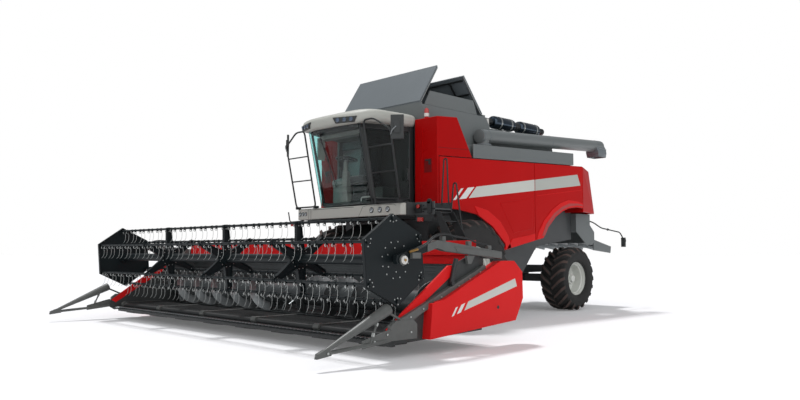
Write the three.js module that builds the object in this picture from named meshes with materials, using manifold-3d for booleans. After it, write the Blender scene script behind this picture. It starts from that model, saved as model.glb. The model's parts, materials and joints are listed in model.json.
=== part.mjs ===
// Combine harvester with a 6.8 m belt header, parked with the header just above the ground.
// Frame: +X is the machine's left side, -Y is forward, +Z is up. All sizes are in millimetres.
// Sizes are laid out from the front axle's centre plane, and the finished group is then moved
// so that its origin is the middle of its box, on the ground.
import * as THREE from "three";
import { ConvexGeometry } from "three/addons/geometries/ConvexGeometry.js";
import { mergeVertices } from "three/addons/utils/BufferGeometryUtils.js";
import Module from "manifold-3d";

const wasm = await Module();
wasm.setup();

// ---------------------------------------------------------------- driving dimensions

const touch = 0.3; // gap left between pieces that rest on each other
const running = 8; // gap kept around panels that open
const pivotPlay = 0.3; // radial play of a bar in its bearing hole
const wheelSides = 24; // facets of tyres and rims, one of them flat on the ground

const wheelbase = 3570;
const frontTyre = { radius: 837, width: 620, seat: 400, offset: 1490 };
const rearTyre = { radius: 626, width: 560, seat: 320, offset: 1140 };
const rimWall = 25;
const steerAngle = 20;

const bodyHalf = 1450; // outer face of the side panels
const panelWall = 35;
const beltHeight = 2670; // top edge of the side panels above the front axle
const beltSlope = 0.0453; // the body line rises towards the rear
const panelFront = -548;
const panelSeam = 2045;
const panelRear = 3690;
const panelOpening = 80;

const hull = { half: 1020, front: -360, rear: 3930, bottom: 760, deck: 1960, top: 2600 };
const rail = { inner: 480, width: 120, bottom: 740, height: 140 };
const postWidth = 80; // outriggers of the hull that the side panels shut against

const tank = { front: -500, rear: 1180, half: 1100, lowerHalf: 1360, floor: 400, rim: 3560, wall: 15 };
const tankShelf = 2925;
const tankShoulder = 3380;
const tankMouth = 1000;
const flapWall = 25;
const flapRestAngles = { front: 57, rear: 50.5 };
const gusset = { height: 235, wall: 20 };

const platform = { half: 1330, front: -1170, bottom: 1700, walk: 1800, top: 1900, sheet: 20 };
const landing = { half: 1750, front: -1000, rear: -600 };
const cab = { floor: 1900.3, top: 3170, wall: 60, rear: -560, rearHalf: 930, frontHalf: 620 };
const cabFrontBottom = -1240;
const cabFrontTop = -1530;
const glass = 6;
const doorWall = 40;
const doorOpening = 45;

const deck = { front: 1300, rear: 3385, ledge: 1080, top: 3370, wall: 25 };
const auger = { x: 1250, y: 800, z: 3135, radius: 120, reach: 4900, rise: 0.058 };
const augerSwing = 100;

const liftRange = [-1, 14];
const reelLiftRange = [-4, 14];

const header = { half: 3400, sheet: 30, back: -2045, floor: 190, knife: -3440 };
const coverOuter = header.half + 150; // outer face of the covers beside the end sheets
const dividerOut = 100; // the crop dividers' distance outside the header's inner width
const reelGap = 7; // reel's end plates to the end sheets
const headerAuger = { y: -2380, z: 520, tube: 150, flight: 285, pitch: 560, plate: 10 };
const belts = { count: 5, gap: 25, front: -3400, rear: -2740, thickness: 60 };
const reel = { y: -3434, z: 1055, radius: 451, lean: 4.5, bays: 4, plate: 12, half: header.half - reelGap };
const bat = { radius: 18, sides: 12, tineLength: 200, tineSize: 10, tinesPerBay: 4 };
const reelPivot = { y: -1760, z: 1100, radius: 45 };
const reelArm = { inner: header.half + 40, outer: header.half + 120, height: 90 };

// ---------------------------------------------------------------- colours

function look(color, roughness, metalness = 0) {
  return new THREE.MeshStandardMaterial({ color, roughness, metalness });
}

const redPaint = look(0xae1616, 0.35);
const greyPaint = look(0x6e7271, 0.5);
const darkPaint = look(0x2a2d2e, 0.6);
const creamPlastic = look(0xc8c9c3, 0.45);
const rubber = look(0x383a39, 0.9);
const rimPaint = look(0xd5d8d3, 0.4);
const reelPaint = look(0x1f2a30, 0.5);
const tintedGlass = look(0x3a4a48, 0.05);
const darkFabric = look(0x24262a, 0.95);
const chrome = look(0x50565c, 0.25, 0.9);

// ---------------------------------------------------------------- shape helpers

const radians = THREE.MathUtils.degToRad;
const at = (x, y, z) => new THREE.Vector3(x, y, z);
const belt = (y) => beltHeight + beltSlope * y;

function solid(geometry) {
  const bare = geometry.clone();
  bare.deleteAttribute("normal");
  bare.deleteAttribute("uv");
  const merged = mergeVertices(bare, 1e-3);
  const vertProperties = new Float32Array(merged.attributes.position.array);
  const triVerts = new Uint32Array(merged.index.array);
  return new wasm.Manifold(new wasm.Mesh({ numProp: 3, vertProperties, triVerts }));
}

const join = (...solids) => solids.flat().reduce((sum, item) => sum.add(item));
const cut = (base, ...tools) => tools.flat().reduce((rest, item) => rest.subtract(item), base);

function piece(name, body, material) {
  const { vertProperties, triVerts } = body.getMesh();
  const geometry = new THREE.BufferGeometry();
  geometry.setAttribute("position", new THREE.BufferAttribute(vertProperties, 3));
  geometry.setIndex(new THREE.BufferAttribute(triVerts, 1));
  const mesh = new THREE.Mesh(geometry, material);
  mesh.name = name;
  return mesh;
}

function block(x0, x1, y0, y1, z0, z1) {
  const geometry = new THREE.BoxGeometry(x1 - x0, y1 - y0, z1 - z0);
  return solid(geometry.translate((x0 + x1) / 2, (y0 + y1) / 2, (z0 + z1) / 2));
}

// A flat outline pushed along one axis: [y, z] points along X, [x, z] along Y, [x, y] along Z.
function prism(axis, points, from, to) {
  const shape = new THREE.Shape(points.map(([a, b]) => new THREE.Vector2(a, b)));
  const geometry = new THREE.ExtrudeGeometry(shape, { depth: to - from, bevelEnabled: false });
  const [ex, ey, ez] = [at(1, 0, 0), at(0, 1, 0), at(0, 0, 1)];
  const frames = {
    X: [ey, ez, ex, at(from, 0, 0)],
    Y: [ex, ez, at(0, -1, 0), at(0, to, 0)],
    Z: [ex, ey, ez, at(0, 0, from)],
  };
  const [u, v, w, start] = frames[axis];
  geometry.applyMatrix4(new THREE.Matrix4().makeBasis(u, v, w).setPosition(start));
  return solid(geometry);
}

const convex = (points) => solid(new ConvexGeometry(points));

// A straight round bar from a to b.
function bar(a, b, radius, sides = 8) {
  const along = b.clone().sub(a);
  const geometry = new THREE.CylinderGeometry(radius, radius, along.length(), sides);
  geometry.rotateY(Math.PI / sides);
  geometry.applyQuaternion(new THREE.Quaternion().setFromUnitVectors(at(0, 1, 0), along.clone().normalize()));
  return solid(geometry.translate(...a.clone().add(b).multiplyScalar(0.5)));
}

// Straight bars through a list of points, each lengthened by its radius so that they join.
function bentBar(points, radius, sides = 5) {
  const bars = points.slice(1).map((end, i) => {
    const start = points[i];
    const over = end.clone().sub(start).setLength(radius * 0.9);
    return bar(start.clone().sub(over), end.clone().add(over), radius, sides);
  });
  return join(bars);
}

// A closed [radius, x] profile turned about the X axis, with a facet flat on its underside.
function turned(profile, sides) {
  const points = profile.map(([radius, x]) => new THREE.Vector2(radius, x));
  points.push(points[0].clone());
  const geometry = new THREE.LatheGeometry(points, sides);
  geometry.rotateY(Math.PI / sides);
  geometry.rotateZ(-Math.PI / 2);
  const body = solid(geometry);
  return body.volume() > 0 ? body : solid(flipped(geometry));
}

function flipped(geometry) {
  const loose = geometry.index ? geometry.toNonIndexed() : geometry.clone();
  const position = loose.attributes.position;
  for (let i = 0; i < position.count; i += 3) {
    const keep = at(0, 0, 0).fromBufferAttribute(position, i);
    position.copyAt(i, position, i + 1);
    position.setXYZ(i + 1, keep.x, keep.y, keep.z);
  }
  return loose;
}

const mirrored = (body) => body.mirror([1, 0, 0]);
const moved = (body, x, y, z) => body.translate([x, y, z]);

// A joint's group stands at its pivot. Its axis and its travel from rest, in degrees or
// millimetres, are kept with it; a null travel turns freely.
function jointed(name, pivot, axis, travel, ...parts) {
  const joint = new THREE.Group();
  joint.name = name;
  joint.position.copy(pivot);
  joint.userData = { axis: axis.toArray(), travel };
  for (const part of parts.flat()) {
    part.position.sub(pivot);
    joint.add(part);
  }
  return joint;
}

const sides = [
  { name: "left", sign: 1 },
  { name: "right", sign: -1 },
];
const onSide = (body, sign) => (sign > 0 ? body : mirrored(body));

// ---------------------------------------------------------------- wheels and axles

const axleHeight = (tyre) => tyre.radius * Math.cos(Math.PI / wheelSides);
const discFace = (tyre) => 0.1 * tyre.width; // outer face of the wheel disc from the tyre's centre
const discWall = 16;

function tyreBody({ radius, width, seat }) {
  const bead = 0.36 * width;
  const half = width / 2;
  const flank = [
    [seat, bead],
    [seat + 70, half - 12],
    [radius - 120, half],
    [radius - 25, half - 30],
    [radius, half - 90],
  ];
  const inner = flank.map(([r, x]) => [r, -x]).reverse();
  return turned([...flank, ...inner], wheelSides);
}

function rimBody(tyre) {
  const outer = tyre.seat - 0.5;
  const inner = outer - rimWall;
  const edge = 0.36 * tyre.width;
  const disc = discFace(tyre);
  const hub = 0.42 * tyre.seat;
  const face = [[0, disc + 40], [hub, disc + 40], [hub, disc], [inner, disc], [inner, edge], [outer, edge]];
  const back = [[outer, -edge], [inner, -edge], [inner, disc - discWall], [0, disc - discWall]];
  return turned([...face, ...back], wheelSides);
}

function wheel(end, side, tyre, y) {
  const centre = at(side.sign * tyre.offset, y, axleHeight(tyre));
  const place = (body) => moved(onSide(body, side.sign), centre.x, centre.y, centre.z);
  const parts = [
    piece(`${end}_tyre_${side.name}`, place(tyreBody(tyre)), rubber),
    piece(`${end}_rim_${side.name}`, place(rimBody(tyre)), rimPaint),
  ];
  return jointed(`${end}_wheel_${side.name}`, centre, at(1, 0, 0), null, parts);
}

const frontAxleZ = axleHeight(frontTyre);
const rearAxleZ = axleHeight(rearTyre);
const axleBox = 110; // half side of the front axle's box section

function frontAxle() {
  const hubFace = frontTyre.offset + discFace(frontTyre) - discWall - touch;
  const beam = block(-1100, 1100, -axleBox, axleBox, frontAxleZ - axleBox, frontAxleZ + axleBox);
  const drives = [-1, 1].map((s) => bar(at(s * 960, 0, frontAxleZ), at(s * 1150, 0, frontAxleZ), 230, 12));
  const shafts = [-1, 1].map((s) => bar(at(s * 1100, 0, frontAxleZ), at(s * hubFace, 0, frontAxleZ), 90, 12));
  return piece("front_axle", join(beam, drives, shafts), darkPaint);
}

const kingpin = { x: 770, radius: 75, low: -92, high: 98, plate: 40 };
const rearBeam = { half: 80, low: -72, high: 78 };

function rearAxle() {
  const beamEnd = kingpin.x - 20;
  const [low, high] = [rearAxleZ + rearBeam.low, rearAxleZ + rearBeam.high];
  const beam = block(-beamEnd, beamEnd, wheelbase - rearBeam.half, wheelbase + rearBeam.half, low, high);
  const bosses = [-1, 1].map((s) => {
    const foot = at(s * kingpin.x, wheelbase, rearAxleZ + kingpin.low);
    return bar(foot, at(foot.x, foot.y, rearAxleZ + kingpin.high), kingpin.radius, 12);
  });
  const post = block(-150, 150, wheelbase - 110, wheelbase + 110, low, rail.bottom - touch);
  return piece("rear_axle", join(beam, bosses, post), darkPaint);
}

function knuckle(side) {
  const hubFace = rearTyre.offset + discFace(rearTyre) - discWall - touch;
  const webInner = kingpin.x + kingpin.radius + 14;
  const [low, high] = [rearAxleZ + kingpin.low - touch, rearAxleZ + kingpin.high + touch];
  const arms = [[low - kingpin.plate, low], [high, high + kingpin.plate]].map(([z0, z1]) =>
    block(kingpin.x - 50, webInner + 40, wheelbase - 50, wheelbase + 50, z0, z1));
  const [webFront, webRear] = [wheelbase - 60, wheelbase + 60];
  const web = block(webInner, webInner + 40, webFront, webRear, low - kingpin.plate, high + kingpin.plate);
  const spindle = bar(at(webInner + 20, wheelbase, rearAxleZ), at(hubFace, wheelbase, rearAxleZ), 60, 12);
  const body = onSide(join(arms, web, spindle), side.sign);
  const pivot = at(side.sign * kingpin.x, wheelbase, rearAxleZ);
  const knuckle = piece(`rear_knuckle_${side.name}`, body, darkPaint);
  const parts = [knuckle, wheel("rear", side, rearTyre, wheelbase)];
  return jointed(`steer_${side.name}`, pivot, at(0, 0, 1), [-steerAngle, steerAngle], parts);
}

// ---------------------------------------------------------------- chassis and body core

const railStart = axleBox + touch;
const railEnd = wheelbase + 180;
const railOuter = rail.inner + rail.width;
const railTop = rail.bottom + rail.height;

function chassisFrame() {
  const rails = [-1, 1].map((s) => {
    const [x0, x1] = s > 0 ? [rail.inner, railOuter] : [-railOuter, -rail.inner];
    return block(x0, x1, railStart, railEnd, rail.bottom, railTop);
  });
  const crossings = [2420, wheelbase - 120].map((y) => {
    return block(-railOuter, railOuter, y, y + 240, rail.bottom, railTop);
  });
  return piece("chassis_frame", join(rails, crossings), darkPaint);
}

const hullTail = { y: 2700, z: 1250, rearZ: 1400 };
const outriggers = {
  front: [300, 380, 1860, 1940],
  seam: [2005, 2085, 2200, 2280],
  rear: [3560, 3640, 2200, 2280],
};

function threshingHousing() {
  const outline = [
    [hull.front, 1060],
    [470, 1060],
    [560, hull.bottom],
    [2240, hull.bottom],
    [hullTail.y, hullTail.z],
    [hull.rear, hullTail.rearZ],
    [hull.rear, hull.top],
    [tank.rear + 110, hull.top],
    [tank.rear + 110, hull.deck],
    [hull.front, hull.deck],
  ];
  const reach = bodyHalf - panelWall - touch;
  const arms = Object.values(outriggers).map(([y0, y1, z0, z1]) => block(-reach, reach, y0, y1, z0, z1));
  const channel = (s) => {
    const reach = [rail.inner - touch, railOuter + touch];
    const [x0, x1] = s > 0 ? reach : [-reach[1], -reach[0]];
    return block(x0, x1, 0, railEnd + 500, rail.bottom - 50, railTop + touch);
  };
  const body = cut(prism("X", outline, -hull.half, hull.half), channel(1), channel(-1));
  return piece("threshing_housing", join(body, arms), greyPaint);
}

function engineBlock() {
  return piece("engine", block(-450, 450, 1600, 2600, hull.top + touch, 3200), darkPaint);
}

// ---------------------------------------------------------------- grain tank

function tankOutline(inset, floorDrop) {
  const half = [
    [tank.floor - inset, hull.deck + touch + inset],
    [tank.lowerHalf - inset, 2740],
    [tank.lowerHalf - inset, tankShelf - inset],
    [tank.half - inset, tankShelf + 30 - inset],
    [tank.half - inset, tankShoulder],
    [tankMouth - inset, tank.rim + floorDrop],
  ];
  return [...half, ...half.map(([x, z]) => [-x, z]).reverse()];
}

const flapHinge = { radius: 10, z: 3600, front: tank.front + 20, rear: tank.rear - 60 };
const turret = { radius: 150, top: auger.z - 160 };

function grainTank() {
  const shell = cut(
    prism("Y", tankOutline(0, 0), tank.front, tank.rear),
    prism("Y", tankOutline(tank.wall, 5), tank.front + tank.wall, tank.rear - tank.wall),
  );
  const seatTop = flapHinge.z - flapHinge.radius - touch;
  const rails = [
    block(-tankMouth, tankMouth, tank.front, tank.front + 35, tank.rim - 40, seatTop),
    block(-tankMouth, tankMouth, flapHinge.rear - 15, tank.rear, tank.rim - 15, seatTop),
  ];
  const ring = bar(at(auger.x, auger.y, tankShelf - 30), at(auger.x, auger.y, turret.top), turret.radius, 16);
  return piece("grain_tank", join(shell, rails, cut(ring, tankCore())), greyPaint);
}

function tankCore() {
  return prism("Y", tankOutline(tank.wall, 0), tank.front + tank.wall, tank.rear - tank.wall);
}

function tankFlap(end) {
  const forward = end === "front";
  const hingeY = flapHinge[end];
  const span = (flapHinge.rear - flapHinge.front - 12) / 2;
  const half = tankMouth - 32;
  const dir = forward ? 1 : -1;
  const sheet = block(-half, half, 0, span, 0, flapWall);
  const closed = forward ? sheet : sheet.mirror([0, 1, 0]);
  const raised = closed.rotate([dir * flapRestAngles[end], 0, 0]);
  const barrel = bar(at(-half, 0, 0), at(half, 0, 0), flapHinge.radius, 12);
  const body = moved(join(raised, barrel), 0, hingeY, flapHinge.z);
  const part = piece(`tank_flap_${end}`, body, greyPaint);
  return jointed(`flap_${end}`, at(0, hingeY, flapHinge.z), at(-dir, 0, 0), [0, flapRestAngles[end]], part);
}

function tankGusset(side) {
  const hinge = { x: tankMouth - 12, z: tank.rim + flapHinge.radius + touch };
  const outline = [[-400, 0], [950, 0], [850, gusset.height], [-270, gusset.height]];
  const sheet = prism("X", outline, -gusset.wall / 2, gusset.wall / 2);
  const barrel = bar(at(0, -400, 0), at(0, 950, 0), flapHinge.radius, 12);
  const body = onSide(moved(join(sheet, barrel), hinge.x, 0, hinge.z), side.sign);
  const part = piece(`tank_gusset_${side.name}`, body, greyPaint);
  const pivot = at(side.sign * hinge.x, 0, hinge.z);
  return jointed(`gusset_${side.name}`, pivot, at(0, -side.sign, 0), [0, 90], part);
}

// ---------------------------------------------------------------- unloading auger

function unloadingAuger() {
  const endZ = auger.z + (auger.reach - auger.y) * auger.rise;
  const elbow = at(auger.x, auger.y, auger.z);
  const foot = bar(at(auger.x, auger.y, turret.top + touch), elbow, auger.radius, 16);
  const knee = solid(new THREE.SphereGeometry(auger.radius * 1.04, 16, 8).translate(...elbow));
  const tube = bar(elbow, at(auger.x, auger.reach, endZ), auger.radius, 16);
  const mouth = cut(
    block(auger.x - 150, auger.x + 150, auger.reach - 320, auger.reach + 30, endZ - 260, endZ + 20),
    block(auger.x - 140, auger.x + 140, auger.reach - 310, auger.reach + 20, endZ - 300, endZ - 60),
  );
  const part = piece("unloading_auger", join(foot, knee, tube, mouth), greyPaint);
  return jointed("auger_swing", elbow, at(0, 0, -1), [0, augerSwing], part);
}

// ---------------------------------------------------------------- upper body

const columnTop = [[-600, 3280], [-120, 3320]];
const columnWall = 40;
const columnInner = 960;

function columnPanel(side) {
  const lower = (y) => belt(y) + running + 4;
  const [frontTop, rearTop] = columnTop;
  const outline = [[frontTop[0], lower(frontTop[0])], frontTop, rearTop, [260, lower(260)]];
  const hollow = [
    [frontTop[0] + columnWall, lower(-600) - 60],
    [frontTop[0] + columnWall, frontTop[1] - columnWall],
    [rearTop[0] - 20, rearTop[1] - columnWall],
    [225, lower(225) - 60],
  ];
  const cover = cut(
    prism("X", outline, columnInner, bodyHalf),
    prism("X", hollow, columnInner - 50, bodyHalf - columnWall),
  );
  const front = block(columnInner, bodyHalf, -600, -600 + columnWall, platform.top + touch, 3000);
  const tankSpace = [
    block(0, tank.half + 10, tank.front - 15, 1000, 2500, 3500),
    block(0, tank.lowerHalf + 10, tank.front - 15, 1000, 2500, tankShelf + 45),
  ];
  const body = onSide(cut(join(cover, front), tankSpace), side.sign);
  return piece(`column_panel_${side.name}`, body, redPaint);
}

const panelEdges = {
  front: [
    [panelFront, belt(panelFront)],
    [panelFront, 1840],
    [-90, 1820],
    [370, 1760],
    [780, 1570],
    [1160, 1262],
    [1110, 1170],
    [panelSeam - 6, 1346],
    [panelSeam - 6, belt(panelSeam - 6)],
  ],
  rear: [
    [panelSeam + 6, belt(panelSeam + 6)],
    [panelSeam + 6, 1350],
    [2280, 1390],
    [2430, 1580],
    [2690, 1790],
    [2930, 1905],
    [3180, 1980],
    [3480, 2012],
    [panelRear, 2000],
    [panelRear, belt(panelRear)],
  ],
};

function sidePanel(end, side) {
  const sheet = prism("X", panelEdges[end], bodyHalf - panelWall, bodyHalf);
  const part = piece(`side_panel_${end}_${side.name}`, onSide(sheet, side.sign), redPaint);
  const y = panelEdges[end][0][1] === belt(panelFront) ? panelFront : panelSeam;
  const pivot = at(side.sign * (bodyHalf - 6), y, belt(y) - 6);
  const axis = at(0, -side.sign, -side.sign * beltSlope).normalize();
  return jointed(`panel_${end}_${side.name}`, pivot, axis, [0, panelOpening], part);
}

function upperDeck() {
  const stripTop = (y) => 2916 + beltSlope * y;
  const low = (y) => belt(y) + running + 4;
  const shell = (y0, y1, inset, drop) => {
    const ring = (y) => [bodyHalf - 5 - inset, -(bodyHalf - 5 - inset)].flatMap((x) => [
      at(x, y, low(y) - drop),
      at(x, y, stripTop(y) - inset),
    ]);
    return convex([...ring(y0), ...ring(y1)]);
  };
  const tower = (y0, y1, inset) => {
    const half = deck.ledge - inset;
    const ring = (y, top) => [
      at(half, y, 2800),
      at(-half, y, 2800),
      at(half - 80, y, top - inset),
      at(80 - half, y, top - inset),
    ];
    return convex([...ring(y0, deck.top), ...ring(y1, deck.top)]);
  };
  const { front, rear, wall } = deck;
  const lower = cut(shell(front, rear, 0, 0), shell(front + wall, rear - wall, wall, 200));
  const upper = cut(tower(front, rear - 100, 0), tower(front + wall, rear - 100 - wall, wall));
  const opening = block(-900, 900, front + 60, rear - 200, 2750, 3150);
  const bulkheads = [front, rear - wall].map((y) => block(-1000, 1000, y, y + wall, hull.top + touch, 2900));
  const strips = [1, -1].map((s) => {
    const [start, end] = [300, front + 20];
    const outline = [
      [start, low(start)],
      [end, low(end)],
      [end, stripTop(end)],
      [start, stripTop(start)],
    ];
    return onSide(prism("X", outline, bodyHalf - 30, bodyHalf - 5), s);
  });
  return piece("upper_deck", join(cut(join(lower, upper), opening), bulkheads, strips), greyPaint);
}

const exhaustLine = { x: 800, z: 3550, pipe: 60, can: 120 };

function exhaust() {
  const { x, z, pipe, can } = exhaustLine;
  const cans = [[1600, 2250], [2410, 3060]].map(([y0, y1]) => bar(at(x, y0, z), at(x, y1, z), can, 12));
  const line = bar(at(x, 1400, z), at(x, 3250, z), pipe, 8);
  const feet = [1900, 2720].map((y) => block(x - 60, x + 60, y, y + 60, deck.top + touch, z));
  return piece("exhaust", join(cans, line, feet), chrome);
}

const hood = { front: 3700, top: 4350, rear: 4550, bottom: 1930, narrow: 1200, wall: 25 };

function rearHood() {
  const shape = (inset, drop) => convex([1, -1].flatMap((s) => [
    at(s * (bodyHalf - inset), hood.front - (inset ? 50 : 0), hood.bottom - drop),
    at(s * (bodyHalf - inset), hood.front - (inset ? 50 : 0), belt(hood.front) - inset),
    at(s * (hood.narrow - inset), hood.rear - inset, hood.bottom - drop),
    at(s * (hood.narrow - inset), hood.top - inset, belt(hood.front) - 30 - inset),
  ]));
  const shell = cut(shape(0, 0), shape(hood.wall, 50));
  const opening = belt(hood.front) - 20;
  const section = [
    [-1420, hood.bottom],
    [1420, hood.bottom],
    [1420, opening],
    [-1420, opening],
  ];
  const around = block(-hull.half - touch, hull.half + touch, 3600, 3800, 1800, hull.top + touch);
  const rib = cut(prism("Y", section, hood.front, hood.front + 25), around);
  return piece("rear_hood", join(shell, rib), redPaint);
}

function strawChopper() {
  const outline = [
    [hull.rear + touch, 1920],
    [4470, 1920],
    [4470, 1700],
    [4640, 1560],
    [4640, 1360],
    [4560, 1290],
    [4340, 1290],
    [hull.rear + touch, 1560],
  ];
  const hollow = [
    [hull.rear + 20, 1900],
    [4450, 1900],
    [4450, 1690],
    [4620, 1550],
    [4620, 1200],
    [4200, 1200],
    [hull.rear + 20, 1500],
  ];
  const body = cut(prism("X", outline, -1140, 1140), prism("X", hollow, -1120, 1120));
  const board = prism("X", [[4610, 1330], [5290, 1230], [5290, 1250], [4610, 1350]], -1120, 1120);
  const cheeks = [-1, 1].map((s) => {
    const [x0, x1] = s > 0 ? [1120, 1140] : [-1140, -1120];
    return prism("X", [[4600, 1180], [5300, 1120], [5330, 1260], [4620, 1400]], x0, x1);
  });
  return piece("straw_chopper", join(body, board, cheeks), greyPaint);
}

const lightBar = { y: 4480, z: 1790 };

function rearLightBar() {
  const { y, z } = lightBar;
  const route = [
    at(1085, y + 15, z),
    at(1190, 4520, 1755),
    at(1300, 4640, 1640),
    at(1400, 5240, 1560),
    at(1400, 5390, 1420),
  ];
  const arm = join(bentBar(route, 14), block(1340, 1460, 5360, 5420, 1240, 1460));
  const cross = block(-1100, 1100, y - 10 + touch, y + 30, z - 40, z + 40);
  return piece("rear_light_bar", join(cross, arm, mirrored(arm)), darkPaint);
}

// ---------------------------------------------------------------- cab and platform

function platformDeck() {
  const rear = hull.front - touch;
  const { bottom, walk, top, sheet } = platform;
  // A walkway with toe boards all round and an open underside.
  const tray = (x0, x1, y0, y1) => cut(
    block(x0, x1, y0, y1, bottom, top),
    block(x0 + sheet, x1 - sheet, y0 + sheet, y1 - sheet, bottom - 10, walk - sheet),
    block(x0 + sheet, x1 - sheet, y0 + sheet, y1 - sheet, walk, top + 10),
  );
  const main = tray(-platform.half, platform.half, platform.front, rear);
  const step = tray(platform.half - sheet, landing.half, landing.front, landing.rear);
  const [gateFront, gateRear] = [landing.front + sheet, landing.rear - sheet];
  const gate = block(platform.half - 60, platform.half + 60, gateFront, gateRear, walk, top + 10);
  const padOutline = cabPlan(0, -10).map(({ x, y }) => [x, Math.max(y, platform.front)]);
  const pad = prism("Z", padOutline, walk - sheet, top);
  const railFoot = platform.top - 10;
  const guardRoute = [
    at(1560, -625, railFoot),
    at(1610, -625, 2580),
    at(1670, -625, 2580),
    at(1705, -625, railFoot),
  ];
  const guard = bentBar(guardRoute, 13);
  const grab = bentBar([
    at(1740, -615, 1740),
    at(1795, -615, 1740),
    at(1800, -615, 2190),
    at(1850, -615, 2190),
    at(1960, -615, 1466),
    at(1740, -615, 1720),
  ], 13);
  return piece("platform", join(cut(join(main, step), gate), pad, guard, grab), greyPaint);
}

function frontFascia() {
  const back = platform.front - touch;
  const outline = [
    [-platform.half, back],
    [-platform.half, back - 30],
    [-platform.half + 60, back - 70],
    [platform.half - 60, back - 70],
    [platform.half, back - 30],
    [platform.half, back],
  ];
  return piece("front_fascia", prism("Z", outline, 1705, 1885), creamPlastic);
}

const ladderHinge = { x: landing.half + 20 + touch, z: 1730, radius: 20, front: -985, rear: -665 };

function ladder() {
  const { x, z, radius, front, rear } = ladderHinge;
  const outline = [
    [x - 10, z],
    [x + 70, z + 20],
    [x + 330, 1330],
    [x + 400, 480],
    [x + 330, 480],
    [x + 120, 1380],
  ];
  const stringers = [front, rear - 15].map((y) => prism("Y", outline, y, y + 15));
  const steps = [560, 830, 1100, 1370, 1600].map((height, i) => {
    const inner = x + [345, 290, 230, 160, 60][i];
    return block(inner, inner + [50, 70, 90, 110, 80][i], front + 5, rear - 5, height, height + 25);
  });
  const barrel = bar(at(x, front, z), at(x, rear, z), radius, 12);
  const part = piece("ladder", join(stringers, steps, barrel), greyPaint);
  return jointed("ladder_fold", at(x, 0, z), at(0, -1, 0), [0, 90], part);
}

function mirrorFrame(side) {
  const post = (x, f) => at(x, -1210 - 260 * f, platform.top + touch + 14 + 1180 * f);
  const loop = [post(1290, 0), post(1310, 0.82), post(1160, 1), post(880, 1), post(880, 0), post(1290, 0)];
  const rungs = [0.36, 0.68].map((f) => bar(post(880, f), post(1300, f), 12, 6));
  const arm = bar(post(1310, 0.8), at(1440, -1450, 2900), 12, 6);
  const mirror = block(1340, 1520, -1490, -1445, 2860, 3180);
  const footTop = platform.top + touch + 12;
  const feet = [880, 1290].map((x) => block(x - 15, x + 15, -1222, -1152, platform.top + touch, footTop));
  const body = join(bentBar(loop, 13), rungs, arm, mirror, feet);
  return piece(`mirror_frame_${side.name}`, onSide(body, side.sign), darkPaint);
}

// The cab is a tapered box: its plan is narrower in front and its screen leans forward.
function cabPlan(f, inset) {
  const frontY = THREE.MathUtils.lerp(cabFrontBottom, cabFrontTop, f);
  const z = THREE.MathUtils.lerp(cab.floor, cab.top, f);
  return [
    at(cab.frontHalf - inset, frontY + inset, z),
    at(cab.rearHalf - inset, -620, z),
    at(cab.rearHalf - inset, cab.rear - inset, z),
    at(inset - cab.rearHalf, cab.rear - inset, z),
    at(inset - cab.rearHalf, -620, z),
    at(inset - cab.frontHalf, frontY + inset, z),
  ];
}

const cabShell = (inset, from = 0, to = 1) => convex([...cabPlan(from, inset), ...cabPlan(to, inset)]);

// A point on one cab wall: `along` runs from plan corner a to corner b, `up` from floor to roof.
function wallPoint(a, b, along, up) {
  const low = cabPlan(0, 0)[a].clone().lerp(cabPlan(0, 0)[b], along);
  const high = cabPlan(1, 0)[a].clone().lerp(cabPlan(1, 0)[b], along);
  return low.lerp(high, up);
}

function wallNormal(a, b) {
  const origin = wallPoint(a, b, 0, 0);
  const normal = wallPoint(a, b, 1, 0).sub(origin).cross(wallPoint(a, b, 0, 1).sub(origin)).normalize();
  return normal.dot(origin.sub(at(0, -900, 2500))) > 0 ? normal : normal.negate();
}

// A slab over part of one cab wall, from `inside` to `outside` of the wall's outer face.
function wallSlab(a, b, [along0, along1], [up0, up1], inside, outside) {
  const ends = [[along0, up0], [along1, up0], [along1, up1], [along0, up1]];
  const corners = ends.map(([along, up]) => wallPoint(a, b, along, up));
  const normal = wallNormal(a, b);
  return convex(corners.flatMap((p) => [-inside, outside].map((d) => p.clone().addScaledVector(normal, d))));
}

const screenSpan = [[0.06, 0.94], [0.05, 0.95]];
const sideSpan = [[0.08, 0.9], [0.05, 0.94]];
const doorSpan = [[0.04, 0.93], [0.05, 0.95]];
const doorGlassSpan = [[0.14, 0.84], [0.1, 0.9]];

function cabFrame() {
  const hollow = cut(cabShell(0), cabShell(cab.wall, 0.03, 0.96));
  const screen = wallSlab(5, 0, ...screenSpan, 200, 200);
  const window = wallSlab(4, 5, ...sideSpan.map((s, i) => (i ? s : [1 - s[1], 1 - s[0]])), 200, 200);
  const doorway = wallSlab(0, 1, ...doorSpan, 200, 200);
  const rearWindow = block(-600, 600, cab.rear - 150, cab.rear + 50, 2400, 3020);
  const console = block(-620, -330, -1000, -660, 1930, 2420);
  return piece("cab_frame", join(cut(hollow, screen, window, doorway, rearWindow), console), darkPaint);
}

function cabGlazing() {
  const skin = cut(cabShell(-touch - glass, 0.01, 0.99), cabShell(-touch, 0, 1));
  const keepFront = block(-2000, cab.frontHalf - 5, -2000, -600, 1800, 3300);
  return piece("cab_glazing", skin.intersect(keepFront), tintedGlass);
}

// Part of the cab's skin, between two depths below its outer face, inside one region of a wall.
const skinPatch = (region, outer, inner) => cut(cabShell(outer), cabShell(inner)).intersect(region);

// The door hangs on the leaning front pillar: two straps lie on the pillar and end in barrels.
const doorHinge = { radius: 12, lift: 0.5, heights: [0.2, 0.8], height: 0.04 };

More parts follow.
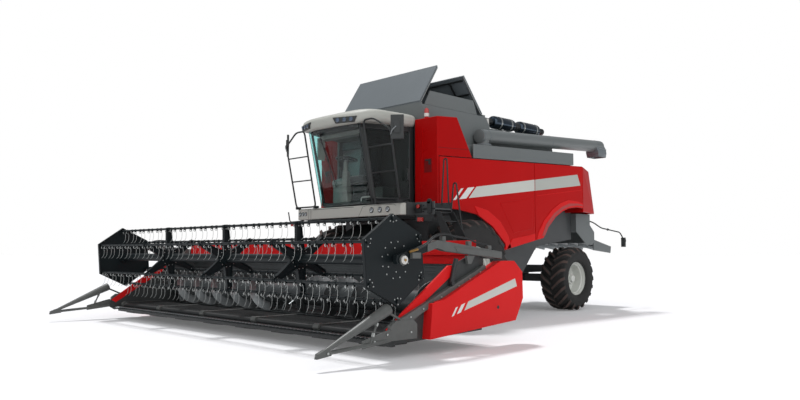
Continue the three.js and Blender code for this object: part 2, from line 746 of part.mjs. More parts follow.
function cabDoor() {
  const shrink = ([a, b], by) => [a + by, b - by];
  const through = (along, up) => wallSlab(0, 1, along, up, 90, 90);
  const slab = skinPatch(through(shrink(doorSpan[0], 0.012), shrink(doorSpan[1], 0.007)), 0, doorWall);
  const paneRegion = through(shrink(doorGlassSpan[0], 0.0005), shrink(doorGlassSpan[1], 0.0003));
  const pane = skinPatch(paneRegion, 15, 15 + glass);
  const { radius, lift, heights, height } = doorHinge;
  const outward = wallNormal(0, 1).multiplyScalar(radius + lift);
  const hinge = (v) => wallPoint(0, 1, 0, v).add(outward);
  const straps = heights.flatMap((v) => [
    skinPatch(through([0, 0.11], [v, v + height]), -radius, -lift),
    skinPatch(through([0.06, 0.11], [v, v + height]), -radius, 10),
    bar(hinge(v), hinge(v + height), radius, 12),
  ]);
  const parts = [
    piece("cab_door", join(cut(slab, through(...doorGlassSpan)), straps), darkPaint),
    piece("cab_door_glass", pane, tintedGlass),
  ];
  const axis = hinge(0).sub(hinge(1)).normalize();
  return jointed("cab_door_swing", hinge(0), axis, [0, doorOpening], parts);
}

function cabRoof() {
  const ring = (z, grow) => {
    const half = [
      [760 + grow, -1620 - grow],
      [600 + grow, -1720 - grow],
      [910 + grow, -1350],
      [930 + grow, -600],
      [920 + grow, cab.rear + 2],
    ];
    return half.flatMap(([x, y]) => [at(x, y, z), at(-x, y, z)]);
  };
  const base = cab.top + touch;
  const rings = [
    ring(base, -30),
    ring(base + 70, 20),
    ring(base + 170, 10),
    ring(base + 280, -180),
  ];
  const body = convex(rings.flat());
  return piece("cab_roof", body, creamPlastic);
}

const floorTop = THREE.MathUtils.lerp(cab.floor, cab.top, 0.03);

function operatorSeat() {
  const base = block(-200, 200, -960, -660, floorTop + touch, 2280);
  const cushion = block(-250, 250, -1060, -640, 2280, 2400);
  const back = prism("X", [[-760, 2400], [-640, 2400], [-625, 2960], [-700, 2960]], -240, 240);
  return piece("operator_seat", join(base, cushion, back), darkFabric);
}

function steeringColumn() {
  const columnFoot = floorTop + touch;
  const columnOutline = [
    [-1130, columnFoot],
    [-1030, columnFoot],
    [-1090, 2560],
    [-1150, 2560],
  ];
  const column = prism("X", columnOutline, -70, 70);
  const wheelTop = bar(at(0, -1100, 2570), at(0, -1110, 2600), 190, 16);
  const hub = bar(at(0, -1110, 2500), at(0, -1105, 2585), 40, 8);
  return piece("steering_column", join(column, wheelTop, hub), greyPaint);
}

// ---------------------------------------------------------------- feeder house and header

const feederPivot = { y: hull.front - 55 - touch, z: 1400, radius: 55 };

function feederHouse() {
  const { y, z, radius } = feederPivot;
  const outline = [
    [-500, 1620],
    [header.back + touch, 860],
    [header.back + touch, 360],
    [-500, 1180],
  ];
  const trunk = prism("X", outline, -560, 560);
  const lugs = [-1, 1].map((s) => {
    const [x0, x1] = s > 0 ? [420, 480] : [-480, -420];
    return prism("X", [[-520, 1500], [y, z + 40], [y, z - 40], [-520, 1300]], x0, x1);
  });
  const barrel = bar(at(-560, y, z), at(560, y, z), radius, 24);
  return piece("feeder_house", join(trunk, lugs, barrel), darkPaint);
}

const endSheet = [
  [-3640, 200],
  [-3560, 150],
  [-2000, 200],
  [-1960, 320],
  [-1960, 1060],
  [-2140, 1130],
  [-2570, 1000],
  [-3620, 360],
];

function headerFrame() {
  const { half, sheet, back, floor, knife } = header;
  const ends = [-1, 1].map((s) => onSide(prism("X", endSheet, half, half + sheet), s));
  const wall = cut(
    block(-half - 1, half + 1, back - 15, back, 300, 1100),
    block(-480, 480, back - 50, back + 50, 400, 820),
  );
  const beam = block(-half - 1, half + 1, back - 95, back - 10, 1060, 1280);
  const pan = prism("X", [
    [back, 320],
    [-2110, 240],
    [-2250, floor + 15],
    [belts.rear + 20, floor],
    [knife - 60, floor],
    [knife - 60, floor - 25],
    [-2250, floor - 12],
    [-2130, floor + 25],
    [back, 290],
  ].reverse(), -half - 1, half + 1);
  const tube = bar(at(-half - 1, -1990, 290), at(half + 1, -1990, 290), 60, 8);
  const clamps = [-3150, -1300, 1300, 3150].map((x) => {
    const face = reelPivot.y - reelPivot.radius - touch;
    return block(x - 40, x + 40, back - 20, face, reelPivot.z - 45, reelPivot.z + 45);
  });
  const knifeBeam = block(-half - 1, half + 1, knife - 120, knife - 50, floor - 20, floor);
  return piece("header_frame", join(ends, wall, beam, pan, tube, clamps, knifeBeam), redPaint);
}

// A plate wound round the X axis: a straight bar is bent into a helix.
function flighting(from, to, hand) {
  const { tube, flight, pitch, plate } = headerAuger;
  const turns = (to - from) / pitch;
  const outline = [[-plate / 2, tube - 6], [plate / 2, tube - 6], [plate / 2, flight], [-plate / 2, flight]];
  const shape = new THREE.Shape(outline.map(([x, r]) => new THREE.Vector2(x, r)));
  const steps = Math.ceil(turns * 6);
  const geometry = new THREE.ExtrudeGeometry(shape, { depth: 1, steps, bevelEnabled: false });
  const position = geometry.attributes.position;
  for (let i = 0; i < position.count; i++) {
    const along = position.getZ(i);
    const angle = hand * along * turns * 2 * Math.PI;
    const radius = position.getY(i);
    const x = position.getX(i) + from + plate / 2 + along * (to - from - plate);
    position.setXYZ(i, x, radius * Math.sin(angle), radius * Math.cos(angle));
  }
  const body = solid(geometry);
  return body.volume() > 0 ? body : solid(flipped(geometry));
}

function crossAuger() {
  const { y, z, tube } = headerAuger;
  const end = header.half - 20;
  const core = bar(at(-end, 0, 0), at(end, 0, 0), tube, 12);
  const shaft = bar(at(touch - header.half, 0, 0), at(header.half - touch, 0, 0), 25, 8);
  const flights = [flighting(-end, -500, 1), flighting(500, end, -1)];
  const part = piece("header_auger", moved(join(core, shaft, flights), 0, y, z), greyPaint);
  return jointed("header_auger_turn", at(0, y, z), at(1, 0, 0), null, part);
}

function headerBelts() {
  const { count, gap, front, rear, thickness } = belts;
  const width = (2 * (header.half - gap) - (count - 1) * gap) / count;
  const r = thickness / 2;
  const z = header.floor + touch + r;
  const arc = (y, start) => [0, 1, 2, 3, 4].map((i) => {
    const angle = radians(start + i * 45);
    return [y + r * Math.cos(angle), z + r * Math.sin(angle)];
  });
  const outline = [...arc(rear - r, -90), ...arc(front + r, 90)];
  const slabs = Array.from({ length: count }, (_, i) => {
    const x0 = -header.half + gap + i * (width + gap);
    return prism("X", outline, x0, x0 + width);
  });
  const shafts = [rear - r, front + r].map((y) => {
    return bar(at(gap - header.half, y, z), at(header.half - gap, y, z), 15, 6);
  });
  return piece("header_belts", join(slabs, shafts), darkPaint);
}

function divider(side) {
  const face = header.half + header.sheet + touch;
  const x = header.half + dividerOut;
  const tip = at(x, -4600, 140);
  const end = at(x, -3640, 545);
  const along = end.clone().sub(tip);
  const taper = new THREE.CylinderGeometry(62, 8, along.length(), 12);
  taper.applyQuaternion(new THREE.Quaternion().setFromUnitVectors(at(0, 1, 0), along.normalize()));
  const cone = solid(taper.translate(...tip.clone().add(end).multiplyScalar(0.5)));
  const lower = bentBar([at(x, -4540, 160), at(x, -3900, 200), at(x - 20, -3560, 230)], 22);
  const strut = bar(at(x, -3900, 200), at(x, -3760, 495), 16, 6);
  const bracketOutline = [
    [-3600, 200],
    [-3420, 200],
    [-3200, 330],
    [-3300, 420],
    [-3600, 300],
  ];
  const bracket = prism("X", bracketOutline, face, face + 70);
  const stay = bar(at(x - 30, -3330, 370), at(x, -3680, 528), 18, 6);
  const body = join(cone, lower, strut, bracket, stay);
  return piece(`divider_${side.name}`, onSide(body, side.sign), greyPaint);
}

const coverOutline = [
  [-3050, 180],
  [-1470, 290],
  [-1310, 560],
  [-1320, 890],
  [-1490, 1030],
  [-1770, 1030],
  [-2800, 610],
  [-3010, 570],
];

function sideCover(side) {
  const inner = header.half + header.sheet + touch;
  const mean = (axis) => coverOutline.reduce((sum, point) => sum + point[axis], 0) / coverOutline.length;
  const [cy, cz] = [mean(0), mean(1)];
  const hollow = coverOutline.map(([y, z]) => [cy + (y - cy) * 0.97, cz + (z - cz) * 0.92]);
  const recess = prism("X", hollow, inner - 20, coverOuter - 25);
  const body = cut(prism("X", coverOutline, inner, coverOuter), recess);
  const part = piece(`header_cover_${side.name}`, onSide(body, side.sign), redPaint);
  const pivot = at(side.sign * coverOuter, coverOutline[0][0], 400);
  return jointed(`header_cover_swing_${side.name}`, pivot, at(0, 0, -side.sign), [0, 75], part);
}

// ---------------------------------------------------------------- reel

const batPlaces = Array.from({ length: 6 }, (_, k) => {
  const angle = radians(90 + 60 * k + reel.lean);
  return [reel.y + reel.radius * Math.cos(angle), reel.z + reel.radius * Math.sin(angle)];
});

function reelArms() {
  const { inner, outer, height } = reelArm;
  const h = height / 2;
  const { y, z, radius } = reelPivot;
  const outline = [
    [y + 60, z - h],
    [y + 60, z + h],
    [-2890, 1230 + h],
    [reel.y - 80, reel.z + h + 5],
    [reel.y - 80, reel.z - h],
    [-2890, 1230 - h],
  ];
  const arms = [-1, 1].map((s) => onSide(prism("X", outline.slice().reverse(), inner, outer), s));
  const cross = bar(at(-outer, y, z), at(outer, y, z), radius, 24);
  return piece("reel_arms", join(arms, cross), greyPaint);
}

function reelRotor() {
  const { y, z, half, plate, bays } = reel;
  const shaft = bar(at(touch - reelArm.inner, y, z), at(reelArm.inner - touch, y, z), 30, 8);
  const core = bar(at(-half + 5, y, z), at(half - 5, y, z), 60, 10);
  const boreRadius = (bat.radius + pivotPlay) / Math.cos(Math.PI / bat.sides);
  const holes = batPlaces.map(([by, bz]) => {
    return bar(at(-half - 50, by, bz), at(half + 50, by, bz), boreRadius, bat.sides);
  });
  const rim = batPlaces.map(([by, bz]) => [y + (by - y) * 1.12, z + (bz - z) * 1.12]);
  const ends = [-1, 1].map((s) => onSide(prism("X", rim, half - plate, half), s));
  const arm = ([by, bz]) => {
    const out = [by - y, bz - z].map((d) => d * 1.1);
    const across = [-out[1], out[0]].map((d) => (d / Math.hypot(...out)) * 38);
    const roots = [1, -1].map((s) => [y + s * across[0], z + s * across[1]]);
    const tips = [-1, 1].map((s) => [y + out[0] + s * across[0], z + out[1] + s * across[1]]);
    return [...roots, ...tips];
  };
  const spiders = Array.from({ length: bays - 1 }, (_, i) => {
    const x = -half + ((i + 1) * 2 * half) / bays;
    return batPlaces.map((place) => prism("X", arm(place), x - plate / 2, x + plate / 2));
  }).flat();
  const body = cut(join(shaft, core, ends, spiders), holes);
  return piece("reel_rotor", body, reelPaint);
}

function reelBat(k) {
  const [y, z] = batPlaces[k];
  const { half, plate, bays } = reel;
  const { radius, tineLength, tineSize, tinesPerBay } = bat;
  const bayWidth = (2 * half) / bays;
  const pitch = (bayWidth - 2 * plate) / tinesPerBay;
  const tines = Array.from({ length: bays * tinesPerBay }, (_, i) => {
    const bay = Math.floor(i / tinesPerBay);
    const x = -half + bay * bayWidth + plate + pitch * ((i % tinesPerBay) + 0.5);
    return block(x - tineSize / 2, x + tineSize / 2, y - tineSize / 2, y + tineSize / 2, z - tineLength, z);
  });
  const tube = bar(at(-half, y, z), at(half, y, z), radius, bat.sides);
  const part = piece(`reel_bat_${k + 1}`, join(tube, tines), reelPaint);
  return jointed(`bat_feather_${k + 1}`, at(0, y, z), at(1, 0, 0), null, part);
}

function reelAssembly() {
  const bats = batPlaces.map((_, k) => reelBat(k));
  const turning = jointed("reel_turn", at(0, reel.y, reel.z), at(-1, 0, 0), null, reelRotor(), bats);
  const pivot = at(0, reelPivot.y, reelPivot.z);
  return jointed("reel_lift", pivot, at(-1, 0, 0), reelLiftRange, reelArms(), turning);
}

function headerAssembly() {
  const parts = [
    feederHouse(),
    headerFrame(),
    crossAuger(),
    headerBelts(),
    sides.map(divider),
    sides.map(sideCover),
    reelAssembly(),
  ];
  const pivot = at(0, feederPivot.y, feederPivot.z);
  return jointed("header_lift", pivot, at(-1, 0, 0), liftRange, ...parts);
}

// ---------------------------------------------------------------- whole machine

const machine = new THREE.Group();
machine.add(
  chassisFrame(),
  frontAxle(),
  rearAxle(),
  threshingHousing(),
  engineBlock(),
  grainTank(),
  upperDeck(),
  exhaust(),
  rearHood(),
  strawChopper(),
  rearLightBar(),
  platformDeck(),
  frontFascia(),
  cabFrame(),
  cabGlazing(),
  cabRoof(),
  operatorSeat(),
  steeringColumn(),
  ...sides.map(columnPanel),
  ...sides.map(mirrorFrame),
);
machine.add(
  ...sides.map((side) => wheel("front", side, frontTyre, 0)),
  ...sides.map(knuckle),
  ...sides.map(tankGusset),
  ...["front", "rear"].flatMap((end) => sides.map((side) => sidePanel(end, side))),
  ...["front", "rear"].map(tankFlap),
  unloadingAuger(),
  ladder(),
  cabDoor(),
  headerAssembly(),
);

const extent = new THREE.Box3().setFromObject(machine);
const centre = extent.getCenter(at(0, 0, 0));
machine.position.set(-centre.x, -centre.y, -extent.min.z);

const group = new THREE.Group();
group.add(machine);
export default group;
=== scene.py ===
"""A combine harvester with a belt header: finishes and fine parts round its fixed frame."""

import json
import math
import random

import bmesh
import bpy
from mathutils import Matrix, Vector

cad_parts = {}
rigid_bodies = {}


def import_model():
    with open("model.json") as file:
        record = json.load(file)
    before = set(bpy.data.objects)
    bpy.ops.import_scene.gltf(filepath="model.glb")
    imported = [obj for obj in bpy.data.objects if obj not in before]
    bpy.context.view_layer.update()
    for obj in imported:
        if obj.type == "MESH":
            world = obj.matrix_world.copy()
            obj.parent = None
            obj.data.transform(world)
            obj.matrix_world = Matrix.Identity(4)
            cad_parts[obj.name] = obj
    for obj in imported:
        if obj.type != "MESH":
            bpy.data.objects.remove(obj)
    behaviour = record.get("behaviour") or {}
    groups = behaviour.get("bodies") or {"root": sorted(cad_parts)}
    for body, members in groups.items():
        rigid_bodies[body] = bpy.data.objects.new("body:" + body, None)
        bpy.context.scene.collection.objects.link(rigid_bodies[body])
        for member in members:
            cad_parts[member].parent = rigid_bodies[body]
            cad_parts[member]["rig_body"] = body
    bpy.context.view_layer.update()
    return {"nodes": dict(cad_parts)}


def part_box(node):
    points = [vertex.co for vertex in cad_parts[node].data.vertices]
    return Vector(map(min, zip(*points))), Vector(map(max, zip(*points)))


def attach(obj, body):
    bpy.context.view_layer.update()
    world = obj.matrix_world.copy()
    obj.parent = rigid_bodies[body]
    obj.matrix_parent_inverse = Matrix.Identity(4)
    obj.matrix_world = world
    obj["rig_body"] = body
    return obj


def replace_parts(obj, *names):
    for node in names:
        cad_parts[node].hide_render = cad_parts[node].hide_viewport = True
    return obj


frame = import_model()

# ---------------------------------------------------------------- places taken from the frame

LOW, HIGH = 0, 1
MERGE_DISTANCE = 1e-5
X, Y, Z = Vector((1, 0, 0)), Vector((0, 1, 0)), Vector((0, 0, 1))
axle_y = (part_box("front_tyre_left")[LOW].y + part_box("front_tyre_left")[HIGH].y) / 2


def at(x, y, z):
    """A point of the machine. y counts from the front axle, rearwards."""
    return Vector((x, y + axle_y, z))


def middle(node):
    """The centre of a node's box."""
    low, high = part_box(node)
    return (low + high) / 2


# ---------------------------------------------------------------- camera

VIEW_AZIMUTH = math.radians(45.12)
VIEW_RISE = math.radians(4.14)
FOCAL_MM = 32.36
EYE = Vector((8.969, -9.322, 1.14))


def place_camera():
    """The camera that frames the machine from its front left corner."""
    lens = bpy.data.cameras.new("view")
    lens.lens = FOCAL_MM
    lens.sensor_width = 36
    lens.clip_end = 200
    camera = bpy.data.objects.new("view", lens)
    camera.location = EYE
    camera.rotation_euler = (math.radians(90) + VIEW_RISE, 0, VIEW_AZIMUTH)
    bpy.context.scene.collection.objects.link(camera)
    bpy.context.scene.camera = camera


# ---------------------------------------------------------------- finishes


def linear(code):
    """An sRGB hex colour as linear RGBA."""
    channels = [int(code[i : i + 2], 16) / 255 for i in (1, 3, 5)]
    return [c / 12.92 if c <= 0.04045 else ((c + 0.055) / 1.055) ** 2.4 for c in channels] + [1.0]


def add(tree, kind, values=None, links=None):
    """Adds a shader node, with its settings and socket values, and the links into it."""
    made = tree.nodes.new("ShaderNode" + kind)
    for key, value in (values or {}).items():
        if isinstance(key, int) or key in made.inputs:
            made.inputs[key].default_value = value
        else:
            setattr(made, key, value)
    for key, socket in (links or {}).items():
        tree.links.new(socket, made.inputs[key])
    return made


def new_finish(name):
    """An empty material and its node tree."""
    material = bpy.data.materials.new(name)
    material.use_nodes = True
    material.node_tree.nodes.clear()
    return material, material.node_tree


def finish_of(
    name, colour, shade, patch_mm, grain_mm, depth_mm, roughness, spread=0.05, streak=(1, 1, 1),
    **shader_values,
):
    """A finish whose colour drifts in patches and whose surface has a fine grain.

    patch_mm is the width of the colour patches, grain_mm that of the grain, depth_mm its height.
    streak stretches the grain along an axis where it is under 1.
    """
    material, tree = new_finish(name)
    spot = add(tree, "TexCoord").outputs["Object"]
    patches = add(tree, "TexNoise", {"Scale": 1000 / patch_mm, "Detail": 3.0}, {"Vector": spot})
    tint = add(
        tree, "Mix", {"data_type": "RGBA", 6: linear(colour), 7: linear(shade)},
        {0: patches.outputs["Fac"]},
    )
    drawn = add(tree, "Mapping", {"Scale": streak}, {"Vector": spot})
    grain = add(
        tree, "TexNoise", {"Scale": 1000 / grain_mm, "Detail": 2.0}, {"Vector": drawn.outputs["Vector"]},
    )
    rough = add(
        tree, "MapRange", {"To Min": max(0.0, roughness - spread), "To Max": roughness + spread},
        {"Value": grain.outputs["Fac"]},
    )
    bump = add(
        tree, "Bump", {"Strength": 0.6, "Distance": depth_mm / 1000}, {"Height": grain.outputs["Fac"]},
    )
    shader = add(
        tree, "BsdfPrincipled", {key.replace("_", " "): value for key, value in shader_values.items()},
        {
            "Base Color": tint.outputs[2], "Roughness": rough.outputs["Result"],
            "Normal": bump.outputs["Normal"],
        },
    )
    add(tree, "OutputMaterial", {}, {"Surface": shader.outputs["BSDF"]})
    return material


def glass_of(name, tint, ior):
    """Glass that lets lamp light through, so that what stands behind it is lit."""
    material, tree = new_finish(name)
    pane = add(
        tree, "BsdfPrincipled",
        {"Base Color": linear(tint), "Roughness": 0.0, "IOR": ior, "Transmission Weight": 1.0},
    )
    clear = add(tree, "BsdfTransparent", {"Color": linear(tint)})
    ray = add(tree, "LightPath")
    mix = add(
        tree, "MixShader", {},
        {0: ray.outputs["Is Shadow Ray"], 1: pane.outputs["BSDF"], 2: clear.outputs["BSDF"]},
    )
    add(tree, "OutputMaterial", {}, {"Surface": mix.outputs["Shader"]})
    return material


# Two-pack enamel sprayed on pressed steel: deep, glossy, with a faint orange peel.
red_enamel = finish_of(
    "red_enamel_sprayed", "#BC0C0D", "#B00809", 700, 7, 0.05, 0.36, Specular_IOR_Level=0.1,
)
# The same red, baked on the header's moulded covers and made a little lighter; on the side panels' raised
# pressings the lighter red is a painted highlight.
light_red_and_highlight = finish_of(
    "red_enamel_light_and_highlight", "#DA2223", "#D01B1C", 600, 7, 0.05, 0.38, Specular_IOR_Level=0.1,
)
# The same enamel darkened inside recesses: painted shade in the handle's dish and on the hood's louvres; it
# also draws the column's seam.
shaded_red = finish_of("red_enamel_painted_shade", "#7C0C0E", "#6E090B", 300, 7, 0.05, 0.5, Specular_IOR_Level=0.2)
# The same enamel made darker on the corner columns: painted shade for the cab's shade they stand in.
column_shaded_red = finish_of(
    "red_enamel_column_shade", "#B00607", "#A40505", 700, 7, 0.05, 0.36, Specular_IOR_Level=0.1,
)
# Stone grey enamel on the tank, deck and auger: satin, evenly dull.
grey_enamel = finish_of("grey_enamel_satin", "#6C7171", "#646969", 500, 5, 0.04, 0.42)
# Slate enamel on the tank's flaps.
slate_enamel = finish_of("slate_enamel_satin", "#6B7276", "#646B6F", 500, 5, 0.04, 0.4)
# Grey enamel on the header's arms and dividers, scuffed by straw.
scuffed_grey = finish_of(
    "grey_enamel_scuffed", "#5F615F", "#4C4E4C", 90, 4, 0.06, 0.45, 0.1, streak=(1, 0.15, 1),
)
# Dark grey enamel on the threshing housing and the platform.
iron_grey = finish_of("iron_grey_enamel", "#4A4D4E", "#414445", 400, 5, 0.05, 0.45, 0.06)
# Black chassis enamel over cast and welded steel.
black_enamel = finish_of("black_enamel_chassis", "#212526", "#181B1C", 300, 5, 0.06, 0.45, 0.08)
# Blue-black powder coat on the reel: fine, slightly rough.
reel_coat = finish_of(
    "reel_powder_coat", "#141C1F", "#101719", 250, 3, 0.05, 0.42, 0.06, Specular_IOR_Level=0.25,
)
# Cast iron of the axles and hubs, painted thinly, so that the casting's grain shows.
cast_iron = finish_of("cast_iron_painted", "#3A3D3D", "#2C2F2F", 120, 6, 0.4, 0.6, 0.08)
# Cream moulded plastic of the cab's roof and front trim, with a fine leather-like grain.
cream_plastic = finish_of(
    "cream_abs_moulded", "#B6B7B0", "#ACADA6", 400, 3, 0.05, 0.5, Specular_IOR_Level=0.25,
)
trim_plastic = finish_of("cream_abs_trim", "#BCBDB6", "#B0B1AA", 300, 3, 0.05, 0.45)
# Black moulded plastic of lamp housings, mirrors and cab trim.
black_plastic = finish_of("black_pp_moulded", "#25282A", "#1C1F20", 200, 2.5, 0.08, 0.5, 0.08)
# Grey moulded plastic inside the cab.
cab_plastic = finish_of("grey_abs_cab", "#6C6E6B", "#60625F", 200, 2.5, 0.08, 0.5)
# Tyre rubber: matt black-brown that greys where the ground has rubbed it.
tyre_rubber = finish_of("tyre_rubber_moulded", "#1E1F1F", "#2A2928", 130, 8, 0.4, 0.82, 0.08)
lug_rubber = finish_of("tyre_lug_flank", "#262626", "#302F2D", 110, 8, 0.4, 0.85, 0.08)
worn_rubber = finish_of("tyre_lug_worn", "#54433E", "#463A36", 110, 8, 0.4, 0.85, 0.08)
# Ribbed conveyor belt: black rubber on canvas.
belt_rubber = finish_of("conveyor_belt_rubber", "#242627", "#2D2F2F", 160, 4, 0.3, 0.7, 0.08)
hose_rubber = finish_of("hydraulic_hose_rubber", "#17191A", "#1F2122", 60, 2, 0.05, 0.55)
# Rims in light grey enamel, with dust in the dish.
rim_enamel = finish_of("rim_enamel_light", "#D6D9D4", "#C4C5BE", 160, 5, 0.05, 0.4, 0.06)
# Cut galvanised sheet: bright spangles, drawn coarse enough to show.
galvanised = finish_of("galvanised_sheet", "#9DA1A2", "#84898B", 30, 9, 0.03, 0.4, 0.1, Metallic=0.85)
# Zinc-plated spring wire and fasteners.
zinc_wire = finish_of("zinc_plated_wire", "#B9BCBA", "#A2A5A3", 40, 3, 0.02, 0.35, 0.08, Metallic=0.7)
# Ground and hardened knife steel.
knife_steel = finish_of(
    "knife_steel_ground", "#5E6263", "#484B4C", 40, 3, 0.05, 0.38, 0.1, (0.1, 1, 1), Metallic=0.9,
)
# Rolled sheet in the header's trough, polished by the crop in streaks along the flow.
trough_steel = finish_of(
    "trough_sheet_polished", "#5B5F60", "#474B4C", 220, 6, 0.05, 0.4, 0.12, (1, 0.1, 0.1), Metallic=0.6,
)
# Polished stainless of the exhaust's cans, its colour darkened: a painted reflection of the sky and the
# deck.
stainless = finish_of("stainless_painted_reflection", "#4A5560", "#39434D", 260, 4, 0.02, 0.16, 0.05, Metallic=1.0)
bright_strap = finish_of("stainless_strap", "#B4B7B4", "#A0A3A1", 60, 3, 0.02, 0.3, 0.06, Metallic=0.8)
piston_chrome = finish_of("piston_rod_chrome", "#C9CCCE", "#BFC2C4", 80, 3, 0.01, 0.1, 0.03, Metallic=1.0)
brass = finish_of("brass_fitting", "#B9935A", "#9E7B48", 40, 3, 0.02, 0.3, 0.06, Metallic=1.0)
# Silver-grey printed film of the stripes.
stripe_film = finish_of("stripe_film_grey", "#CBCDC6", "#C3C5BE", 500, 4, 0.01, 0.38)
# The same film a shade darker behind the seam, on the rear panel: painted shade.
shaded_stripe_film = finish_of("stripe_film_painted_shade", "#B6B9B2", "#ADB0A9", 500, 4, 0.01, 0.38)
white_film = finish_of("stripe_film_white", "#E4E5E2", "#DCDDDA", 300, 4, 0.01, 0.36)
# Woven seat cloth: dark, with a sheen along the threads.
seat_cloth = finish_of("seat_cloth_woven", "#26292D", "#1B1D20", 60, 3, 0.5, 0.9, 0.05, Sheen_Weight=0.4)
mirror_glass = finish_of("mirror_silvered", "#C8CDD0", "#C2C7CA", 500, 60, 0.0, 0.03, 0.01, Metallic=1.0)
lamp_reflector = finish_of("lamp_reflector", "#B9BDC0", "#8F9396", 20, 4, 0.05, 0.15, 0.05, Metallic=1.0)
engine_paint = finish_of("engine_enamel", "#2B2F31", "#202325", 200, 6, 0.2, 0.55)
# Perforated guard strip over the rear wheel: holes show the pale pressing behind.
guard_enamel = finish_of("perforated_guard", "#B44A4A", "#A43A3A", 30, 8, 0.3, 0.5, Specular_IOR_Level=0.25)

screen_glass = glass_of("safety_glass_clear", "#E8F0EE", 1.22)
tinted_glass = glass_of("safety_glass_tinted", "#A0E0DF", 1.25)
# The door's pane is a darker grey than the other panes: painted shade, so that the cab's inside reads dark
# through it.
door_glass = glass_of("safety_glass_grey_painted_shade", "#717D7B", 1.22)
blue_lamp_glass = finish_of("lamp_lens_blue", "#3C5878", "#16202C", 35, 8, 0.1, 0.08, 0.03, Coat_Weight=1.0)
red_lens = finish_of("lens_red_ribbed", "#C22A24", "#A01C18", 20, 4, 0.2, 0.15, 0.04, Coat_Weight=0.8)
white_lens = finish_of("lens_white_ribbed", "#DDDCD8", "#C6C4BE", 20, 4, 0.2, 0.15, 0.04, Coat_Weight=0.8)
amber_lens = finish_of("lens_amber_ribbed", "#D8791C", "#B85F10", 20, 4, 0.2, 0.15, 0.04, Coat_Weight=0.8)

# ---------------------------------------------------------------- shaping


def block(bm, low, high):
    """A box between two corners."""
    low, high = Vector(low), Vector(high)
    verts = bmesh.ops.create_cube(bm, size=1)["verts"]
    bmesh.ops.scale(bm, vec=high - low, verts=verts)
    bmesh.ops.translate(bm, vec=(low + high) / 2, verts=verts)
    return verts


def slabs(bm, *boxes):
    """Boxes, each given by its two corners from the front axle."""
    for x0, y0, z0, x1, y1, z1 in boxes:
        block(bm, at(x0, y0, z0), at(x1, y1, z1))


def rod(bm, start, end, radius, end_radius=None, sides=16):
    """A round bar, or a cone where end_radius differs."""
    along = end - start
    verts = bmesh.ops.create_cone(
        bm, cap_ends=True, segments=sides, radius1=radius,
        radius2=radius if end_radius is None else end_radius, depth=along.length,
    )["verts"]
    turn = Z.rotation_difference(along).to_matrix()
    bmesh.ops.rotate(bm, matrix=turn, verts=verts)
    bmesh.ops.translate(bm, vec=(start + end) / 2, verts=verts)
    return verts


def bolt(bm, spot, length, radius, sides=6):
    """A bolt head or nut that stands out along X."""
    rod(bm, spot, spot + X * length, radius, sides=sides)


def ball(bm, centre, radius):
    """A small ball, such as a joint or a knob."""
    verts = bmesh.ops.create_uvsphere(
        bm, u_segments=12, v_segments=6, radius=radius,
    )["verts"]
    bmesh.ops.translate(bm, vec=centre, verts=verts)
    return verts


def plate(bm, outline, along):
    """A flat outline pushed along a vector."""
    face = bm.faces.new([bm.verts.new(p) for p in outline])
    pushed = bmesh.ops.extrude_face_region(bm, geom=[face])["geom"]
    moved = [v for v in pushed if isinstance(v, bmesh.types.BMVert)]
    bmesh.ops.translate(bm, vec=along, verts=moved)


def side_plate(bm, outline, x0, x1):
    """A plate across the machine: outline points are (y, z) from the front axle."""
    plate(bm, [at(x0, y, z) for y, z in outline], X * (x1 - x0))


def join(bm, other):
    """Adds the other shape to bm."""
    shape = bpy.data.meshes.new("part")
    other.to_mesh(shape)
    other.free()
    bm.from_mesh(shape)
    bpy.data.meshes.remove(shape)


def turned(bm, profile, centre, axis=(1, 0, 0), steps=32):
    """A closed (radius, height) profile spun about an axis through centre."""
    spun = bmesh.new()
    verts = [spun.verts.new((radius, 0, height)) for radius, height in profile]
    edges = [spun.edges.new((verts[i - 1], vert)) for i, vert in enumerate(verts)]
    bmesh.ops.spin(
        spun, geom=verts + edges, axis=(0, 0, 1), cent=(0, 0, 0), angle=math.tau, steps=steps,
        use_merge=True,
    )
    bmesh.ops.remove_doubles(spun, verts=spun.verts, dist=MERGE_DISTANCE)
    bmesh.ops.recalc_face_normals(spun, faces=spun.faces)
    turn = Z.rotation_difference(Vector(axis)).to_matrix()
    bmesh.ops.rotate(spun, matrix=turn, verts=spun.verts)
    bmesh.ops.translate(spun, vec=centre, verts=spun.verts)
    join(bm, spun)


def rounded(points, radius, steps=5):
    """The points with each corner replaced by an arc-like bend."""
    path = [points[0]]
    for before, corner, after in zip(points, points[1:], points[2:]):
        reach = min(radius, (before - corner).length / 2, (after - corner).length / 2)
        start = corner + (before - corner).normalized() * reach
        end = corner + (after - corner).normalized() * reach
        for i in range(steps + 1):
            t = i / steps
            path.append(start * (1 - t) ** 2 + corner * 2 * t * (1 - t) + end * t**2)
    return path + [points[-1]]


def tube(bm, points, radius, sides=10):
    """A round tube along a path, closed at both ends."""
    ring = bmesh.new()
    circle = bmesh.ops.create_circle(ring, cap_ends=True, segments=sides, radius=radius)["verts"]
    turn = Z.rotation_difference(points[1] - points[0])
    bmesh.ops.rotate(ring, matrix=turn.to_matrix(), verts=circle)
    bmesh.ops.translate(ring, vec=points[0], verts=circle)
    face = ring.faces[:][0]
    heading = (points[1] - points[0]).normalized()
    for i in range(1, len(points)):
        here = points[i]
        onward = (points[min(i + 1, len(points) - 1)] - points[i - 1]).normalized()
        pushed = bmesh.ops.extrude_discrete_faces(ring, faces=[face])["faces"]
        face = pushed[0]
        bmesh.ops.translate(ring, vec=here - points[i - 1], verts=face.verts[:])
        bend = heading.rotation_difference(onward).to_matrix()
        bmesh.ops.rotate(ring, cent=here, matrix=bend, verts=face.verts[:])
        heading = onward
    bmesh.ops.recalc_face_normals(ring, faces=ring.faces)
    join(bm, ring)


def bent_tube(bm, points, bend, radius, sides=10):
    """A tube through points given from the front axle, with rounded bends."""
    tube(bm, rounded([at(*p) for p in points], bend), radius, sides)


